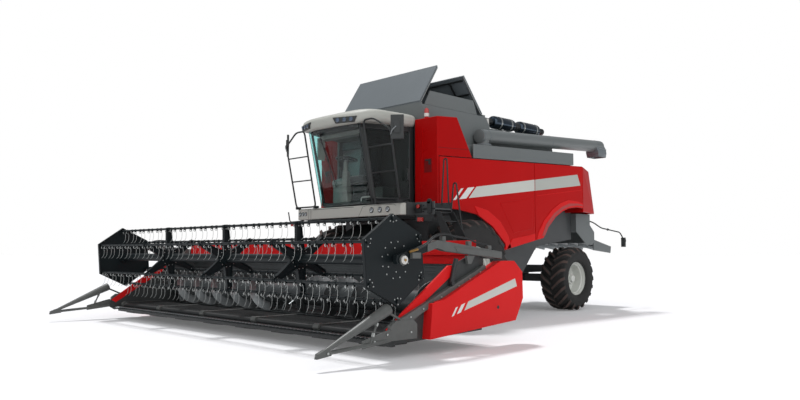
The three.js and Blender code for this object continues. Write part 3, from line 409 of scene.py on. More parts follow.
def mirrored(bm):
    """The same shape on the other side of the machine."""
    copy = bm.copy()
    bmesh.ops.scale(copy, vec=(-1, 1, 1), verts=copy.verts)
    bmesh.ops.reverse_faces(copy, faces=copy.faces)
    return copy


def piece(name, bm, material, body="machine", bevel_mm=0.0, smooth=32, second=None):
    """Turns a shape into a piece that rides on a body. Faces marked 1 take the second material."""
    bmesh.ops.recalc_face_normals(bm, faces=bm.faces)
    shape = bpy.data.meshes.new(name)
    bm.to_mesh(shape)
    bm.free()
    shape.materials.append(material)
    if second:
        shape.materials.append(second)
    shape.shade_smooth()
    shape.set_sharp_from_angle(angle=math.radians(smooth))
    made = bpy.data.objects.new(name, shape)
    bpy.context.scene.collection.objects.link(made)
    if bevel_mm:
        edge = made.modifiers.new("edge", "BEVEL")
        edge.width = bevel_mm / 1000
        edge.segments = 2
        edge.limit_method = "ANGLE"
        edge.angle_limit = math.radians(30)
        edge.harden_normals = True
    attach(made, body)
    return made


def refined(node, material, bevel_mm):
    """The node's own shape with its edges broken, standing for the node."""
    source = frame["nodes"][node]
    bm = bmesh.new()
    bm.from_mesh(source.data)
    bmesh.ops.remove_doubles(bm, verts=bm.verts, dist=MERGE_DISTANCE)
    bmesh.ops.dissolve_limit(bm, angle_limit=math.radians(0.5), verts=bm.verts, edges=bm.edges)
    made = piece(f"{node}_finished", bm, material, source["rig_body"], bevel_mm)
    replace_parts(made, node)
    return made


def on_both_sides(build):
    """Runs a builder for the left side (sign 1) and the right side (sign -1)."""
    for name, sign in (("left", 1), ("right", -1)):
        build(name, sign)


def place(bm, sign):
    """A shape made for the left side, put on the side that sign names."""
    if sign > 0:
        return bm
    copy = mirrored(bm)
    bm.free()
    return copy


# ---------------------------------------------------------------- wheels

LUG_HEIGHT = 0.062


def tyre_carcass(bm, centre, radius, half_width, seat):
    """A carcass with round shoulders, bulged walls and a rim groove, spun about the axle."""
    shoulder = radius - LUG_HEIGHT
    wall = [
        (seat, 0.34 * 2 * half_width), (seat + 0.012, half_width * 0.78), (seat + 0.03, half_width * 0.82),
        (seat + 0.034, half_width * 0.87), (seat + 0.3 * (shoulder - seat), half_width * 0.965),
        (seat + 0.5 * (shoulder - seat), half_width * 0.985),
        (seat + 0.72 * (shoulder - seat), half_width * 0.965),
        (seat + 0.9 * (shoulder - seat), half_width * 0.9), (shoulder - 0.012, half_width * 0.8),
        (shoulder, half_width * 0.55), (shoulder + 0.003, 0),
    ]
    profile = wall + [(r, -x) for r, x in reversed(wall[:-1])]
    turned(bm, profile, centre, steps=56)


def tread_lugs(bm, centre, radius, half_width, count, side, turn_offset):
    """Angled bars from the middle of the tread over the shoulder, one side of the chevron."""
    base = radius - LUG_HEIGHT - 0.004
    sweep = 0.62 * half_width / radius
    for k in range(count):
        start_angle = math.tau * k / count + turn_offset
        lug = bmesh.new()
        bmesh.ops.create_grid(lug, x_segments=6, y_segments=1, size=1)
        raised = bmesh.ops.extrude_face_region(lug, geom=lug.faces[:])["geom"]
        top = {v for v in raised if isinstance(v, bmesh.types.BMVert)}
        for vert in lug.verts:
            along = (vert.co.x + 1) / 2
            across = vert.co.y
            high = vert in top
            width = (0.034 + 0.012 * along) * (0.72 if high else 1.0)
            angle = start_angle + sweep * along * 1.25 + across * width / radius
            x = side * (0.012 + (half_width * 0.965 - 0.012) * along)
            drop = 0.0 if along < 0.75 else 0.06 * (along - 0.75) / 0.25
            height = LUG_HEIGHT if along < 0.95 else LUG_HEIGHT * 0.55
            r = base - drop + (height if high else 0.0)
            if along > 0.95:
                x = side * half_width * (0.985 if high else 0.95)
            vert.co = centre + Vector((x, r * math.sin(angle), r * math.cos(angle)))
        for face in lug.faces:
            face.material_index = 1 if all(v in top for v in face.verts) else 0
        bmesh.ops.recalc_face_normals(lug, faces=lug.faces)
        join(bm, lug)


def wheel_rim(bm, centre, sign, seat, width):
    """A deep drop-centre rim, its disc set inwards, with a raised hub."""
    edge = 0.34 * width
    hub = 0.1 * width
    disc = -0.08 * width
    profile = [
        (0.0, hub + 0.03), (0.3 * seat, hub + 0.03), (0.34 * seat, hub + 0.01), (0.36 * seat, disc + 0.002),
        (0.62 * seat, disc - 0.01), (0.74 * seat, disc + 0.015), (0.83 * seat, disc + 0.03),
        (0.86 * seat, disc + 0.06), (0.87 * seat, edge * 0.72), (0.93 * seat, edge * 0.8),
        (0.95 * seat, edge * 0.94), (1.0 * seat, edge * 0.96), (1.035 * seat, edge),
        (1.04 * seat, edge + 0.008), (1.0 * seat, edge + 0.02), (0.99 * seat, edge),
        (0.97 * seat, edge * 0.8), (0.9 * seat, edge * 0.6), (0.9 * seat, -edge * 0.6),
        (0.97 * seat, -edge * 0.85), (1.035 * seat, -edge), (1.0 * seat, -edge - 0.018),
        (0.94 * seat, -edge * 0.85), (0.86 * seat, -edge * 0.55), (0.86 * seat, disc - 0.01),
        (0.6 * seat, disc - 0.03), (0.28 * seat, disc - 0.02), (0.24 * seat, hub - 0.02), (0.0, hub - 0.02),
    ]
    turned(bm, [(r, sign * x) for r, x in profile], centre, steps=48)


def wheel_bolts(bm, centre, sign, seat, width):
    """Ten wheel nuts on the hub's ring, a cap in the middle and a valve."""
    face = centre.x - sign * 0.083 * width
    for k in range(10):
        angle = math.tau * k / 10
        spot = Vector(
            (face, centre.y + 0.48 * seat * math.sin(angle), centre.z + 0.48 * seat * math.cos(angle))
        )
        bolt(bm, spot, sign * 0.022, 0.019)
        bolt(bm, spot, sign * 0.038, 0.01, 8)
    face = centre.x + sign * 0.1 * width
    hub = Vector((face + sign * 0.028, centre.y, centre.z))
    rod(bm, hub, hub + X * (sign * 0.05), 0.24 * seat, 0.2 * seat, sides=24)
    for k in range(8):
        angle = math.tau * (k + 0.5) / 8
        spot = Vector(
            (
                face + sign * 0.028, centre.y + 0.3 * seat * math.sin(angle),
                centre.z + 0.3 * seat * math.cos(angle),
            )
        )
        bolt(bm, spot, sign * 0.016, 0.009)
    valve = centre + Vector((-sign * 0.03 * width, 0.8 * seat, 0))
    rod(bm, valve, valve + Vector((sign * 0.05, -0.02, 0)), 0.006, sides=6)


def make_wheel(end, name, sign):
    """Carcass, lugs, rim and nuts of one wheel, sized from its nodes in the frame."""
    body = f"{end}_wheel_{name}_body"
    low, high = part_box(f"{end}_tyre_{name}")
    centre = (low + high) / 2
    radius = centre.z
    half_width = (high.x - low.x) / 2
    seat = (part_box(f"{end}_rim_{name}")[HIGH].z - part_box(f"{end}_rim_{name}")[LOW].z) / 2
    bm = bmesh.new()
    tyre_carcass(bm, centre, radius, half_width, seat)
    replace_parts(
        piece(f"{end}_tyre_{name}_carcass", bm, tyre_rubber, body),
        f"{end}_tyre_{name}",
    )
    bm = bmesh.new()
    count = 22 if end == "front" else 20
    tread_lugs(bm, centre, radius, half_width, count, 1, 0)
    tread_lugs(bm, centre, radius, half_width, count, -1, math.pi / count)
    piece(f"{end}_tyre_{name}_lugs", bm, lug_rubber, body, 4, second=worn_rubber)
    bm = bmesh.new()
    wheel_rim(bm, centre, sign, seat, 2 * half_width)
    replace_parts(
        piece(f"{end}_rim_{name}_dish", bm, rim_enamel, body), f"{end}_rim_{name}",
    )
    bm = bmesh.new()
    wheel_bolts(bm, centre, sign, seat, 2 * half_width)
    piece(f"{end}_rim_{name}_nuts", bm, rim_enamel, body, 1.5)


for end in ("front", "rear"):
    on_both_sides(lambda name, sign, end=end: make_wheel(end, name, sign))

# ---------------------------------------------------------------- nodes kept in their own shape

# Finish and edge width in mm. A name that ends in an underscore stands for a left and a right node.
KEPT = {
    "chassis_frame": (black_enamel, 6), "front_axle": (cast_iron, 8), "rear_axle": (cast_iron, 6),
    "rear_knuckle_": (cast_iron, 5), "threshing_housing": (iron_grey, 8), "engine": (engine_paint, 12),
    "grain_tank": (grey_enamel, 6), "upper_deck": (grey_enamel, 10), "rear_hood": (red_enamel, 14),
    "straw_chopper": (grey_enamel, 4), "front_fascia": (trim_plastic, 8),
    # The corner columns take the darker red: painted shade.
    "column_panel_": (column_shaded_red, 10), "tank_gusset_": (grey_enamel, 3),
    "side_panel_front_": (red_enamel, 8), "side_panel_rear_": (red_enamel, 8),
    "tank_flap_front": (slate_enamel, 5), "tank_flap_rear": (slate_enamel, 5),
    "feeder_house": (black_enamel, 6),
}
for node, (material, bevel_mm) in KEPT.items():
    for end in ("left", "right") if node.endswith("_") else ("",):
        refined(node + end, material, bevel_mm)

# ---------------------------------------------------------------- reel

REEL_RADIUS = 0.451
REEL_HALF = 3.393
SPIDERS = (-1.6965, 0.0, 1.6965)
BAT_LEAN = 94.5
reel_axle = middle("reel_rotor")


def on_reel(x, radius, degrees, aside=0.0):
    """A point of the reel at rest: aside is measured square to the radius."""
    a = math.radians(degrees)
    out = Vector((0, math.cos(a), math.sin(a)))
    side = Vector((0, -math.sin(a), math.cos(a)))
    return Vector((x, reel_axle.y, reel_axle.z)) + out * radius + side * aside


# Outlines on a spoke of the reel, as (radius, aside).
SPOKE = [(0.05, 0.07), (0.3, 0.045), (0.43, 0.04), (0.475, 0.026)]
SPOKE += [(0.475, -0.026), (0.43, -0.04), (0.3, -0.045), (0.05, -0.07)]
FLANGE = [(0.07, 0.07), (0.3, 0.046), (0.42, 0.04), (0.42, 0.033), (0.3, 0.039), (0.07, 0.063)]
BAT_ANGLES = [BAT_LEAN + 60 * k for k in range(6)]


def make_reel():
    """The reel's core, its inner spiders, the six-sided end plates and the bolts in them."""
    body = "reel_turn_body"
    bm = bmesh.new()
    rod(bm, on_reel(-REEL_HALF + 0.004, 0, 0), on_reel(REEL_HALF - 0.004, 0, 0), 0.06, sides=32)
    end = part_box("reel_rotor")[HIGH].x
    for sign in (1, -1):
        rod(bm, on_reel(sign * (REEL_HALF - 0.01), 0, 0), on_reel(sign * end, 0, 0), 0.03, sides=20)
        inner, outer = sign * (REEL_HALF - 0.11), sign * (REEL_HALF - 0.012)
        rod(bm, on_reel(inner, 0, 0), on_reel(outer, 0, 0), 0.085, sides=28)
    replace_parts(piece("reel_core", bm, reel_coat, body, 2), "reel_rotor")

    bm = bmesh.new()
    for x in SPIDERS:
        rod(bm, on_reel(x - 0.035, 0, 0), on_reel(x + 0.035, 0, 0), 0.1, sides=28)
        for angle in BAT_ANGLES:
            spoke = [on_reel(x - 0.004, radius, angle, aside) for radius, aside in SPOKE]
            plate(bm, spoke, X * 0.008)
            for side in (1, -1):
                flange = [on_reel(x - 0.028, radius, angle, side * aside) for radius, aside in FLANGE]
                plate(bm, flange, X * 0.056)
    piece("reel_spiders", bm, reel_coat, body, 1.5)

    bm = bmesh.new()
    for sign in (1, -1):
        outer = sign * REEL_HALF
        plate(bm, [on_reel(outer - sign * 0.008, 0.505, a) for a in BAT_ANGLES], X * (sign * 0.008))
        lip = outer - sign * 0.045
        for a in BAT_ANGLES:
            b = a + 60
            corners = ((0.505, a), (0.505, b), (0.496, b), (0.496, a))
            plate(bm, [on_reel(lip, radius, angle) for radius, angle in corners], X * (sign * 0.045))
    piece("reel_end_plates", bm, reel_coat, body, 2)

    bm = bmesh.new()
    for sign in (1, -1):
        spots = [(0.2, BAT_LEAN + 30 * k + 15, 0) for k in range(12)]
        spots += [(0.13, angle, 0) for angle in BAT_ANGLES]
        for angle in BAT_ANGLES:
            spots += [(0.482, angle, 0), (0.415, angle, 0), (0.425, angle, 0.045), (0.425, angle, -0.045)]
        for radius, angle, aside in spots:
            bolt(bm, on_reel(sign * REEL_HALF, radius, angle, aside), sign * 0.006, 0.0085)
    for x in SPIDERS:
        for angle in BAT_ANGLES:
            for radius, aside in ((0.415, 0.0), (0.12, 0.03), (0.12, -0.03)):
                for sign in (1, -1):
                    bolt(bm, on_reel(x + sign * 0.004, radius, angle, aside), sign * 0.008, 0.008)
    piece("reel_bolts", bm, zinc_wire, body)


TINES_PER_BAY = 11
TINE_GAUGE = 0.0027


def tine_places():
    """Tines stand in pairs along each bay, clear of the reel's spiders."""
    edges = [-REEL_HALF, *SPIDERS, REEL_HALF]
    for low, high in zip(edges, edges[1:]):
        pitch = (high - low - 0.16) / (TINES_PER_BAY - 1)
        for k in range(TINES_PER_BAY):
            yield low + 0.08 + pitch * k + (0.016 if k % 2 == 0 else -0.016)


def spring_tine(bm, x, centre, twist):
    """A coil below the bat and its wire, which sweeps back and hooks forward at the tip."""
    coil = bmesh.new()
    corners = [math.tau * i / 4 for i in range(4)]
    profile = [(0.0175 + 0.0045 * math.cos(a), 0.011 * math.sin(a)) for a in corners]
    turned(coil, profile, Vector((x, centre.y - 0.006, centre.z - 0.034)), steps=10)
    join(bm, coil)
    wire = [(0.009, 0.02, -0.08), (0.009, 0.016, -0.15), (0.009, -0.004, -0.195), (0.009, -0.026, -0.213)]
    path = [Vector((x + 0.008, centre.y + 0.008, centre.z - 0.036))]
    path += [Vector((x + dx, centre.y + dy + twist, centre.z + dz)) for dx, dy, dz in wire]
    tube(bm, path, TINE_GAUGE, sides=4)


def make_bat(number):
    """One bat: its tube with clamps, and the spring tines below it."""
    body = f"bat_feather_{number}_body"
    centre = on_reel(0, REEL_RADIUS, BAT_LEAN + 60 * (number - 1))
    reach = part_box(f"reel_bat_{number}")[HIGH].x
    bm = bmesh.new()
    rod(bm, centre - X * (reach), centre + X * (reach), 0.017, sides=16)
    places = list(tine_places())
    for x in places:
        rod(bm, centre + X * (x - 0.012), centre + X * (x + 0.012), 0.0215, sides=12)
        block(bm, centre + Vector((x - 0.012, -0.012, -0.03)), centre + Vector((x + 0.012, 0.012, -0.012)))
    for x in (*SPIDERS, REEL_HALF - 0.03, -REEL_HALF + 0.03):
        for side in (1, -1):
            a = centre + X * (x + side * 0.045)
            rod(bm, a - X * 0.007, a + X * 0.007, 0.0235, sides=12)
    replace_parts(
        piece(f"reel_bat_{number}_tube", bm, reel_coat, body), f"reel_bat_{number}",
    )
    bm = bmesh.new()
    wander = random.Random(number)
    for x in places:
        spring_tine(bm, x, centre, wander.uniform(-0.004, 0.004))
    piece(f"reel_bat_{number}_tines", bm, zinc_wire, body)


make_reel()
for number in range(1, 7):
    make_bat(number)

# ---------------------------------------------------------------- header table

HEADER_HALF = 3.4
OPENING_HALF = 0.48
AUGER_Y, AUGER_Z = -2.38, 0.52
auger_axle = at(0, AUGER_Y, AUGER_Z)


def make_table():
    """The header's wall, trough, belts, knife and ends, which lift together."""
    body = "header_lift_body"
    # Rear wall, with the feeder's opening and two stiffening ribs.
    bm = bmesh.new()
    slabs(
        bm,
        (-HEADER_HALF, -2.06, 0.82, HEADER_HALF, -2.045, 1.1),
        (-HEADER_HALF, -2.06, 0.3, -OPENING_HALF, -2.045, 0.82),
        (OPENING_HALF, -2.06, 0.3, HEADER_HALF, -2.045, 0.82),
        (-OPENING_HALF, -2.06, 0.3, OPENING_HALF, -2.045, 0.4),
    )
    for z in (0.86, 0.94):
        block(bm, at(-HEADER_HALF + 0.01, -2.075, z), at(HEADER_HALF - 0.01, -2.058, z + 0.03))
    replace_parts(piece("header_back_wall", bm, trough_steel, body, 3), "header_frame")
    bm = bmesh.new()
    slabs(
        bm,
        (-HEADER_HALF, -2.14, 1.1, HEADER_HALF, -2.055, 1.28),
        (-HEADER_HALF + 0.004, -2.105, 0.99, HEADER_HALF - 0.004, -2.062, 1.1),
    )
    for x in [-3.0 + 0.75 * k for k in range(9)]:
        plate(
            bm, [at(x, -2.045, 0.35), at(x, -2.045, 1.25), at(x, -1.99, 1.15), at(x, -1.985, 0.35)],
            X * 0.012,
        )
    piece("header_top_beam", bm, light_red_and_highlight, body, 8)
    bm = bmesh.new()
    rod(bm, at(-HEADER_HALF, -1.99, 0.29), at(HEADER_HALF, -1.99, 0.29), 0.06, sides=20)
    for x in (-3.15, -1.3, 1.3, 3.15):
        block(bm, at(x - 0.04, -2.05, 0.22), at(x + 0.04, -1.93, 0.37))
    piece("header_lower_tube", bm, black_enamel, body, 4)
    # Trough: a sheet rolled round the auger and carried forward under the belts.
    outer = [(-2.045, 0.46)]
    for i in range(9):
        a = math.radians(-8 - 78 * i / 8)
        outer.append((AUGER_Y + 0.32 * math.cos(a), AUGER_Z + 0.32 * math.sin(a)))
    outer += [(-2.72, 0.178), (-3.49, 0.165)]
    inner = [(y - 0.002, z + 0.008) for y, z in reversed(outer)]
    bm = bmesh.new()
    side_plate(bm, outer + inner, -HEADER_HALF, HEADER_HALF)
    piece("header_trough", bm, trough_steel, body)
    # Stripper strips along the trough.
    bm = bmesh.new()
    for degrees in (-18, -48, -75):
        a = math.radians(degrees)
        y, z = AUGER_Y + 0.312 * math.cos(a), AUGER_Z + 0.312 * math.sin(a)
        rod(bm, at(-HEADER_HALF, y, z), at(HEADER_HALF, y, z), 0.008, sides=8)
    piece("header_strippers", bm, galvanised, body)
    make_knife(body)
    for k in range(5):
        make_belt(k, body)
    make_seams(body)
    on_both_sides(make_end)


GUARD_PITCH = 0.0762


def make_knife(body):
    """Knife back, pressed guards a hand's width apart and the toothed sections on them."""
    bm = bmesh.new()
    slabs(
        bm,
        (-HEADER_HALF, -3.535, 0.168, HEADER_HALF, -3.485, 0.186),
        (-HEADER_HALF, -3.5, 0.125, HEADER_HALF, -3.44, 0.168),
    )
    for k in range(8):
        x = -2.975 + 0.85 * k
        outline = [(-3.49, 0.16), (-3.49, 0.115), (-3.3, 0.085), (-2.95, 0.085), (-2.86, 0.16)]
        side_plate(bm, outline, x - 0.11, x + 0.11)
    piece("knife_beam", bm, black_enamel, body, 2)
    bm = bmesh.new()
    count = int(2 * HEADER_HALF / GUARD_PITCH)
    for k in range(count):
        x = -HEADER_HALF + 0.03 + GUARD_PITCH * k
        rod(bm, at(x, -3.5, 0.19), at(x, -3.615, 0.182), 0.017, 0.002, sides=6)
        block(bm, at(x - 0.014, -3.52, 0.176), at(x + 0.014, -3.45, 0.206))
    piece("knife_guards", bm, knife_steel, body)
    bm = bmesh.new()
    for k in range(count):
        x = -HEADER_HALF + 0.03 + GUARD_PITCH * (k + 0.5)
        outline = [
            at(x - 0.037, -3.5, 0.2), at(x - 0.037, -3.515, 0.2), at(x - 0.008, -3.578, 0.2),
            at(x + 0.008, -3.578, 0.2), at(x + 0.037, -3.515, 0.2), at(x + 0.037, -3.5, 0.2),
        ]
        plate(bm, outline, Z * 0.004)
    piece("knife_sections", bm, galvanised, body)


BELT_WIDTH = 1.33
BELT_GAP = 0.025
ROLLER_Z, ROLLER_RADIUS = 0.222, 0.032


def belt_centre(k):
    """The middle of belt k, counted from the right."""
    return (k - 2) * (BELT_WIDTH + BELT_GAP)


def make_belt(k, body):
    """An endless belt over two rollers, with low cleats across it."""
    x0 = belt_centre(k) - BELT_WIDTH / 2
    x1 = x0 + BELT_WIDTH
    outline = []
    for y, start in ((-2.742, 90), (-3.398, 270)):
        for i in range(9):
            a = math.radians(start - 22.5 * i)
            outline.append((y + ROLLER_RADIUS * math.cos(a), ROLLER_Z + ROLLER_RADIUS * math.sin(a)))
    bm = bmesh.new()
    side_plate(bm, outline, x0, x1)
    for i in range(9):
        y = -2.79 - 0.072 * i
        block(bm, at(x0 + 0.03, y - 0.006, 0.252), at(x1 - 0.03, y + 0.006, 0.262))
    made = piece(f"header_belt_{k + 1}", bm, belt_rubber, body)
    if k == 0:
        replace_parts(made, "header_belts")


def make_seams(body):
    """Pale cover strips between the belts, each with a cast shoe at its front end."""
    bm = bmesh.new()
    for k in range(4):
        x = (belt_centre(k) + belt_centre(k + 1)) / 2
        block(bm, at(x - 0.03, -3.4, 0.262), at(x + 0.03, -2.73, 0.27))
        rod(bm, at(x - 0.055, -3.41, 0.235), at(x + 0.055, -3.41, 0.235), 0.042, sides=20)
        block(bm, at(x - 0.045, -3.41, 0.24), at(x + 0.045, -3.33, 0.274))
    for sign in (1, -1):
        rod(bm, at(sign * 3.33, -3.41, 0.235), at(sign * 3.4, -3.41, 0.235), 0.045, sides=20)
        block(bm, at(sign * 3.365, -3.4, 0.262), at(sign * 3.4, -2.73, 0.27))
    piece("belt_seam_covers", bm, scuffed_grey, body, 3)


def make_end(name, sign):
    """End sheet with its grey flange, the red inner fender and the reel's lift cylinder."""
    body = "header_lift_body"
    bm = bmesh.new()
    outline = [
        (-3.64, 0.2), (-3.56, 0.15), (-2.0, 0.2), (-1.96, 0.32), (-1.96, 1.06), (-2.14, 1.13),
        (-2.57, 0.98), (-3.62, 0.33),
    ]
    side_plate(bm, outline, 3.418, 3.43)
    piece(f"header_end_sheet_{name}", place(bm, sign), cast_iron, body, 2)
    bm = bmesh.new()
    flange = [(-3.62, 0.3), (-3.45, 0.425), (-2.0, 0.985), (-1.97, 0.92), (-3.4, 0.355), (-3.5, 0.28)]
    side_plate(bm, flange, 3.428, 3.492)
    side_plate(bm, [(-3.6, 0.29), (-3.05, 0.6), (-3.05, 0.47), (-3.3, 0.33), (-3.6, 0.2)], 3.428, 3.442)
    piece(f"header_end_flange_{name}", place(bm, sign), scuffed_grey, body, 4)
    bm = bmesh.new()
    fender = [(-3.62, 0.32), (-2.62, 0.985), (-2.56, 0.985), (-2.54, 0.9), (-2.61, 0.84), (-3.54, 0.27)]
    side_plate(bm, fender, 3.416, 3.446)
    piece(f"header_fender_{name}", place(bm, sign), light_red_and_highlight, body, 4)
    bm = bmesh.new()
    for y, z in ((-3.3, 0.44), (-3.1, 0.517), (-2.8, 0.633), (-2.5, 0.748), (-2.3, 0.826), (-2.1, 0.903)):
        spot = at(3.492, y, z)
        bolt(bm, spot, 0.01, 0.011)
    piece(f"header_flange_bolts_{name}", place(bm, sign), zinc_wire, body)
    bm = bmesh.new()
    rod(bm, at(3.468, -2.512, 1.06), at(3.468, -2.6, 0.78), 0.03, sides=16)
    rod(bm, at(3.45, -2.6, 0.78), at(3.5, -2.6, 0.78), 0.028, sides=16)
    piece(f"reel_cylinder_{name}", place(bm, sign), black_enamel, body)


make_table()


AUGER_REACH = 3.38
AUGER_TUBE, AUGER_FLIGHT = 0.148, 0.282
FLIGHT_INNER, FLIGHT_LENGTH = 0.46, 2.88
FLIGHT_TURNS, STEPS_A_TURN = 5, 32


def make_header_auger():
    """The cross auger: tube, one flight towards the middle from each end, and pick-up fingers."""
    body = "header_auger_turn_body"
    bm = bmesh.new()
    rod(bm, auger_axle - X * AUGER_REACH, auger_axle + X * AUGER_REACH, 0.15, sides=40)
    for sign in (1, -1):
        rod(bm, auger_axle + X * (sign * 3.36), auger_axle + X * (sign * 3.392), 0.05, sides=20)
    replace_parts(piece("auger_tube", bm, trough_steel, body), "header_auger")
    for name, sign in (("left", 1), ("right", -1)):
        flight = bmesh.new()
        edge = [
            flight.verts.new((AUGER_TUBE, 0, FLIGHT_INNER)),
            flight.verts.new((AUGER_FLIGHT, 0, FLIGHT_INNER)),
        ]
        flight.edges.new(edge)
        bmesh.ops.spin(
            flight, geom=flight.verts[:] + flight.edges[:], axis=(0, 0, 1), cent=(0, 0, 0),
            dvec=(0, 0, FLIGHT_LENGTH / (FLIGHT_TURNS * STEPS_A_TURN)), angle=-math.tau * FLIGHT_TURNS,
            steps=FLIGHT_TURNS * STEPS_A_TURN,
        )
        bmesh.ops.recalc_face_normals(flight, faces=flight.faces)
        bmesh.ops.solidify(flight, geom=flight.faces[:], thickness=0.008)
        turn = Z.rotation_difference(X).to_matrix()
        bmesh.ops.rotate(flight, matrix=turn, verts=flight.verts)
        side = place(flight, sign)
        bmesh.ops.translate(side, vec=auger_axle, verts=side.verts)
        piece(f"auger_flight_{name}", side, galvanised, body)
    bm = bmesh.new()
    for k in range(14):
        a = math.tau * k * 0.382
        x = -0.42 + 0.84 * k / 13
        out = Vector((0, math.cos(a), math.sin(a)))
        rod(bm, auger_axle + X * (x) + out * 0.14, auger_axle + X * (x) + out * 0.275, 0.009, sides=8)
        rod(bm, auger_axle + X * (x) + out * 0.14, auger_axle + X * (x) + out * 0.158, 0.026, sides=10)
    piece("auger_fingers", bm, galvanised, body)


make_header_auger()


DIVIDER_X = 3.5


def make_divider(name, sign):
    """The crop divider: a long cone on a tube, its mount and its bolts."""
    body = "header_lift_body"
    bm = bmesh.new()
    tip, rear = at(DIVIDER_X, -4.6, 0.14), at(DIVIDER_X, -3.64, 0.545)
    turn_axis = (rear - tip).normalized()
    length = (rear - tip).length
    profile = [
        (0.0, 0.0), (0.012, 0.004), (0.016, 0.04), (0.03, length * 0.3), (0.062, length * 0.93),
        (0.064, length * 0.985), (0.06, length), (0.0, length),
    ]
    turned(bm, profile, tip, turn_axis, steps=40)
    side_plate(bm, [(-4.6, 0.12), (-4.59, 0.17), (-4.5, 0.205), (-4.42, 0.19), (-4.42, 0.14)], 3.478, 3.522)
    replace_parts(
        piece(f"divider_{name}_cone", place(bm, sign), scuffed_grey, body, 3),
        f"divider_{name}",
    )
    bm = bmesh.new()
    bent_tube(bm, ((DIVIDER_X, -4.54, 0.16), (DIVIDER_X, -3.9, 0.2), (3.48, -3.56, 0.23)), 0.1, 0.021, 14)
    side_plate(bm, [(-4.0, 0.16), (-4.0, 0.24), (-3.62, 0.33), (-3.56, 0.29), (-3.6, 0.2)], 3.486, 3.5)
    side_plate(
        bm, [(-3.6, 0.205), (-3.6, 0.36), (-3.52, 0.415), (-3.26, 0.415), (-3.2, 0.36), (-3.2, 0.205)],
        3.444, 3.498,
    )
    rod(bm, at(DIVIDER_X, -3.9, 0.2), at(DIVIDER_X, -3.76, 0.495), 0.012, sides=12)
    rod(bm, at(3.47, -3.33, 0.37), at(DIVIDER_X, -3.68, 0.528), 0.014, sides=12)
    piece(f"divider_{name}_mount", place(bm, sign), scuffed_grey, body, 2)
    bm = bmesh.new()
    for spot in (
        at(3.522, -4.47, 0.165), at(DIVIDER_X, -3.84, 0.22), at(DIVIDER_X, -3.66, 0.28),
        at(3.498, -3.3, 0.28),
    ):
        bolt(bm, spot, 0.012, 0.013)
    rod(bm, at(DIVIDER_X, -3.865, 0.275), at(DIVIDER_X, -3.85, 0.31), 0.019, sides=6)
    rod(bm, at(DIVIDER_X, -3.815, 0.38), at(DIVIDER_X, -3.8, 0.41), 0.019, sides=6)
    piece(f"divider_{name}_bolts", place(bm, sign), zinc_wire, body)


on_both_sides(make_divider)


def film(name, outline, x, material, body, sign):
    """A thin film on a flat side: outline points are (y, z)."""
    bm = bmesh.new()
    side_plate(bm, outline, x, x + 0.0012)
    piece(name, place(bm, sign), material, body)


COVER_FILMS = (
    ("stripe", [(-2.469, 0.464), (-2.395, 0.566), (-1.479, 0.81), (-1.44, 0.712)], stripe_film),
    ("bar_1", [(-2.6, 0.43), (-2.53, 0.449), (-2.45, 0.552), (-2.52, 0.533)], white_film),
    ("bar_2", [(-2.69, 0.407), (-2.652, 0.417), (-2.58, 0.517), (-2.618, 0.507)], white_film),
)


def make_cover(name, sign):
    """An end cover, the stripes on it and its lock."""
    body = f"header_cover_{name}_body"
    refined(f"header_cover_{name}", light_red_and_highlight, 16)
    face = abs(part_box(f"header_cover_{name}")[HIGH if sign > 0 else LOW].x)
    for part, outline, material in COVER_FILMS:
        film(f"header_cover_{name}_{part}", outline, face, material, body, sign)
    bm = bmesh.new()
    spot = at(face, -1.83, 0.47)
    bolt(bm, spot, 0.004, 0.022, 20)
    bolt(bm, spot, 0.007, 0.009)
    piece(f"header_cover_{name}_lock", place(bm, sign), black_plastic, body, 1)


on_both_sides(make_cover)


DRIVE_Y, DRIVE_Z = -3.434, 1.055
HOSE_PATH = (
    (3.535, -3.23, 1.168), (3.53, -3.1, 1.21), (3.5, -2.9, 1.325), (3.48, -2.7, 1.35), (3.48, -2.5, 1.31),
    (3.47, -2.3, 1.3), (3.46, -2.1, 1.24), (3.47, -1.9, 1.22), (3.45, -1.78, 1.16),
)


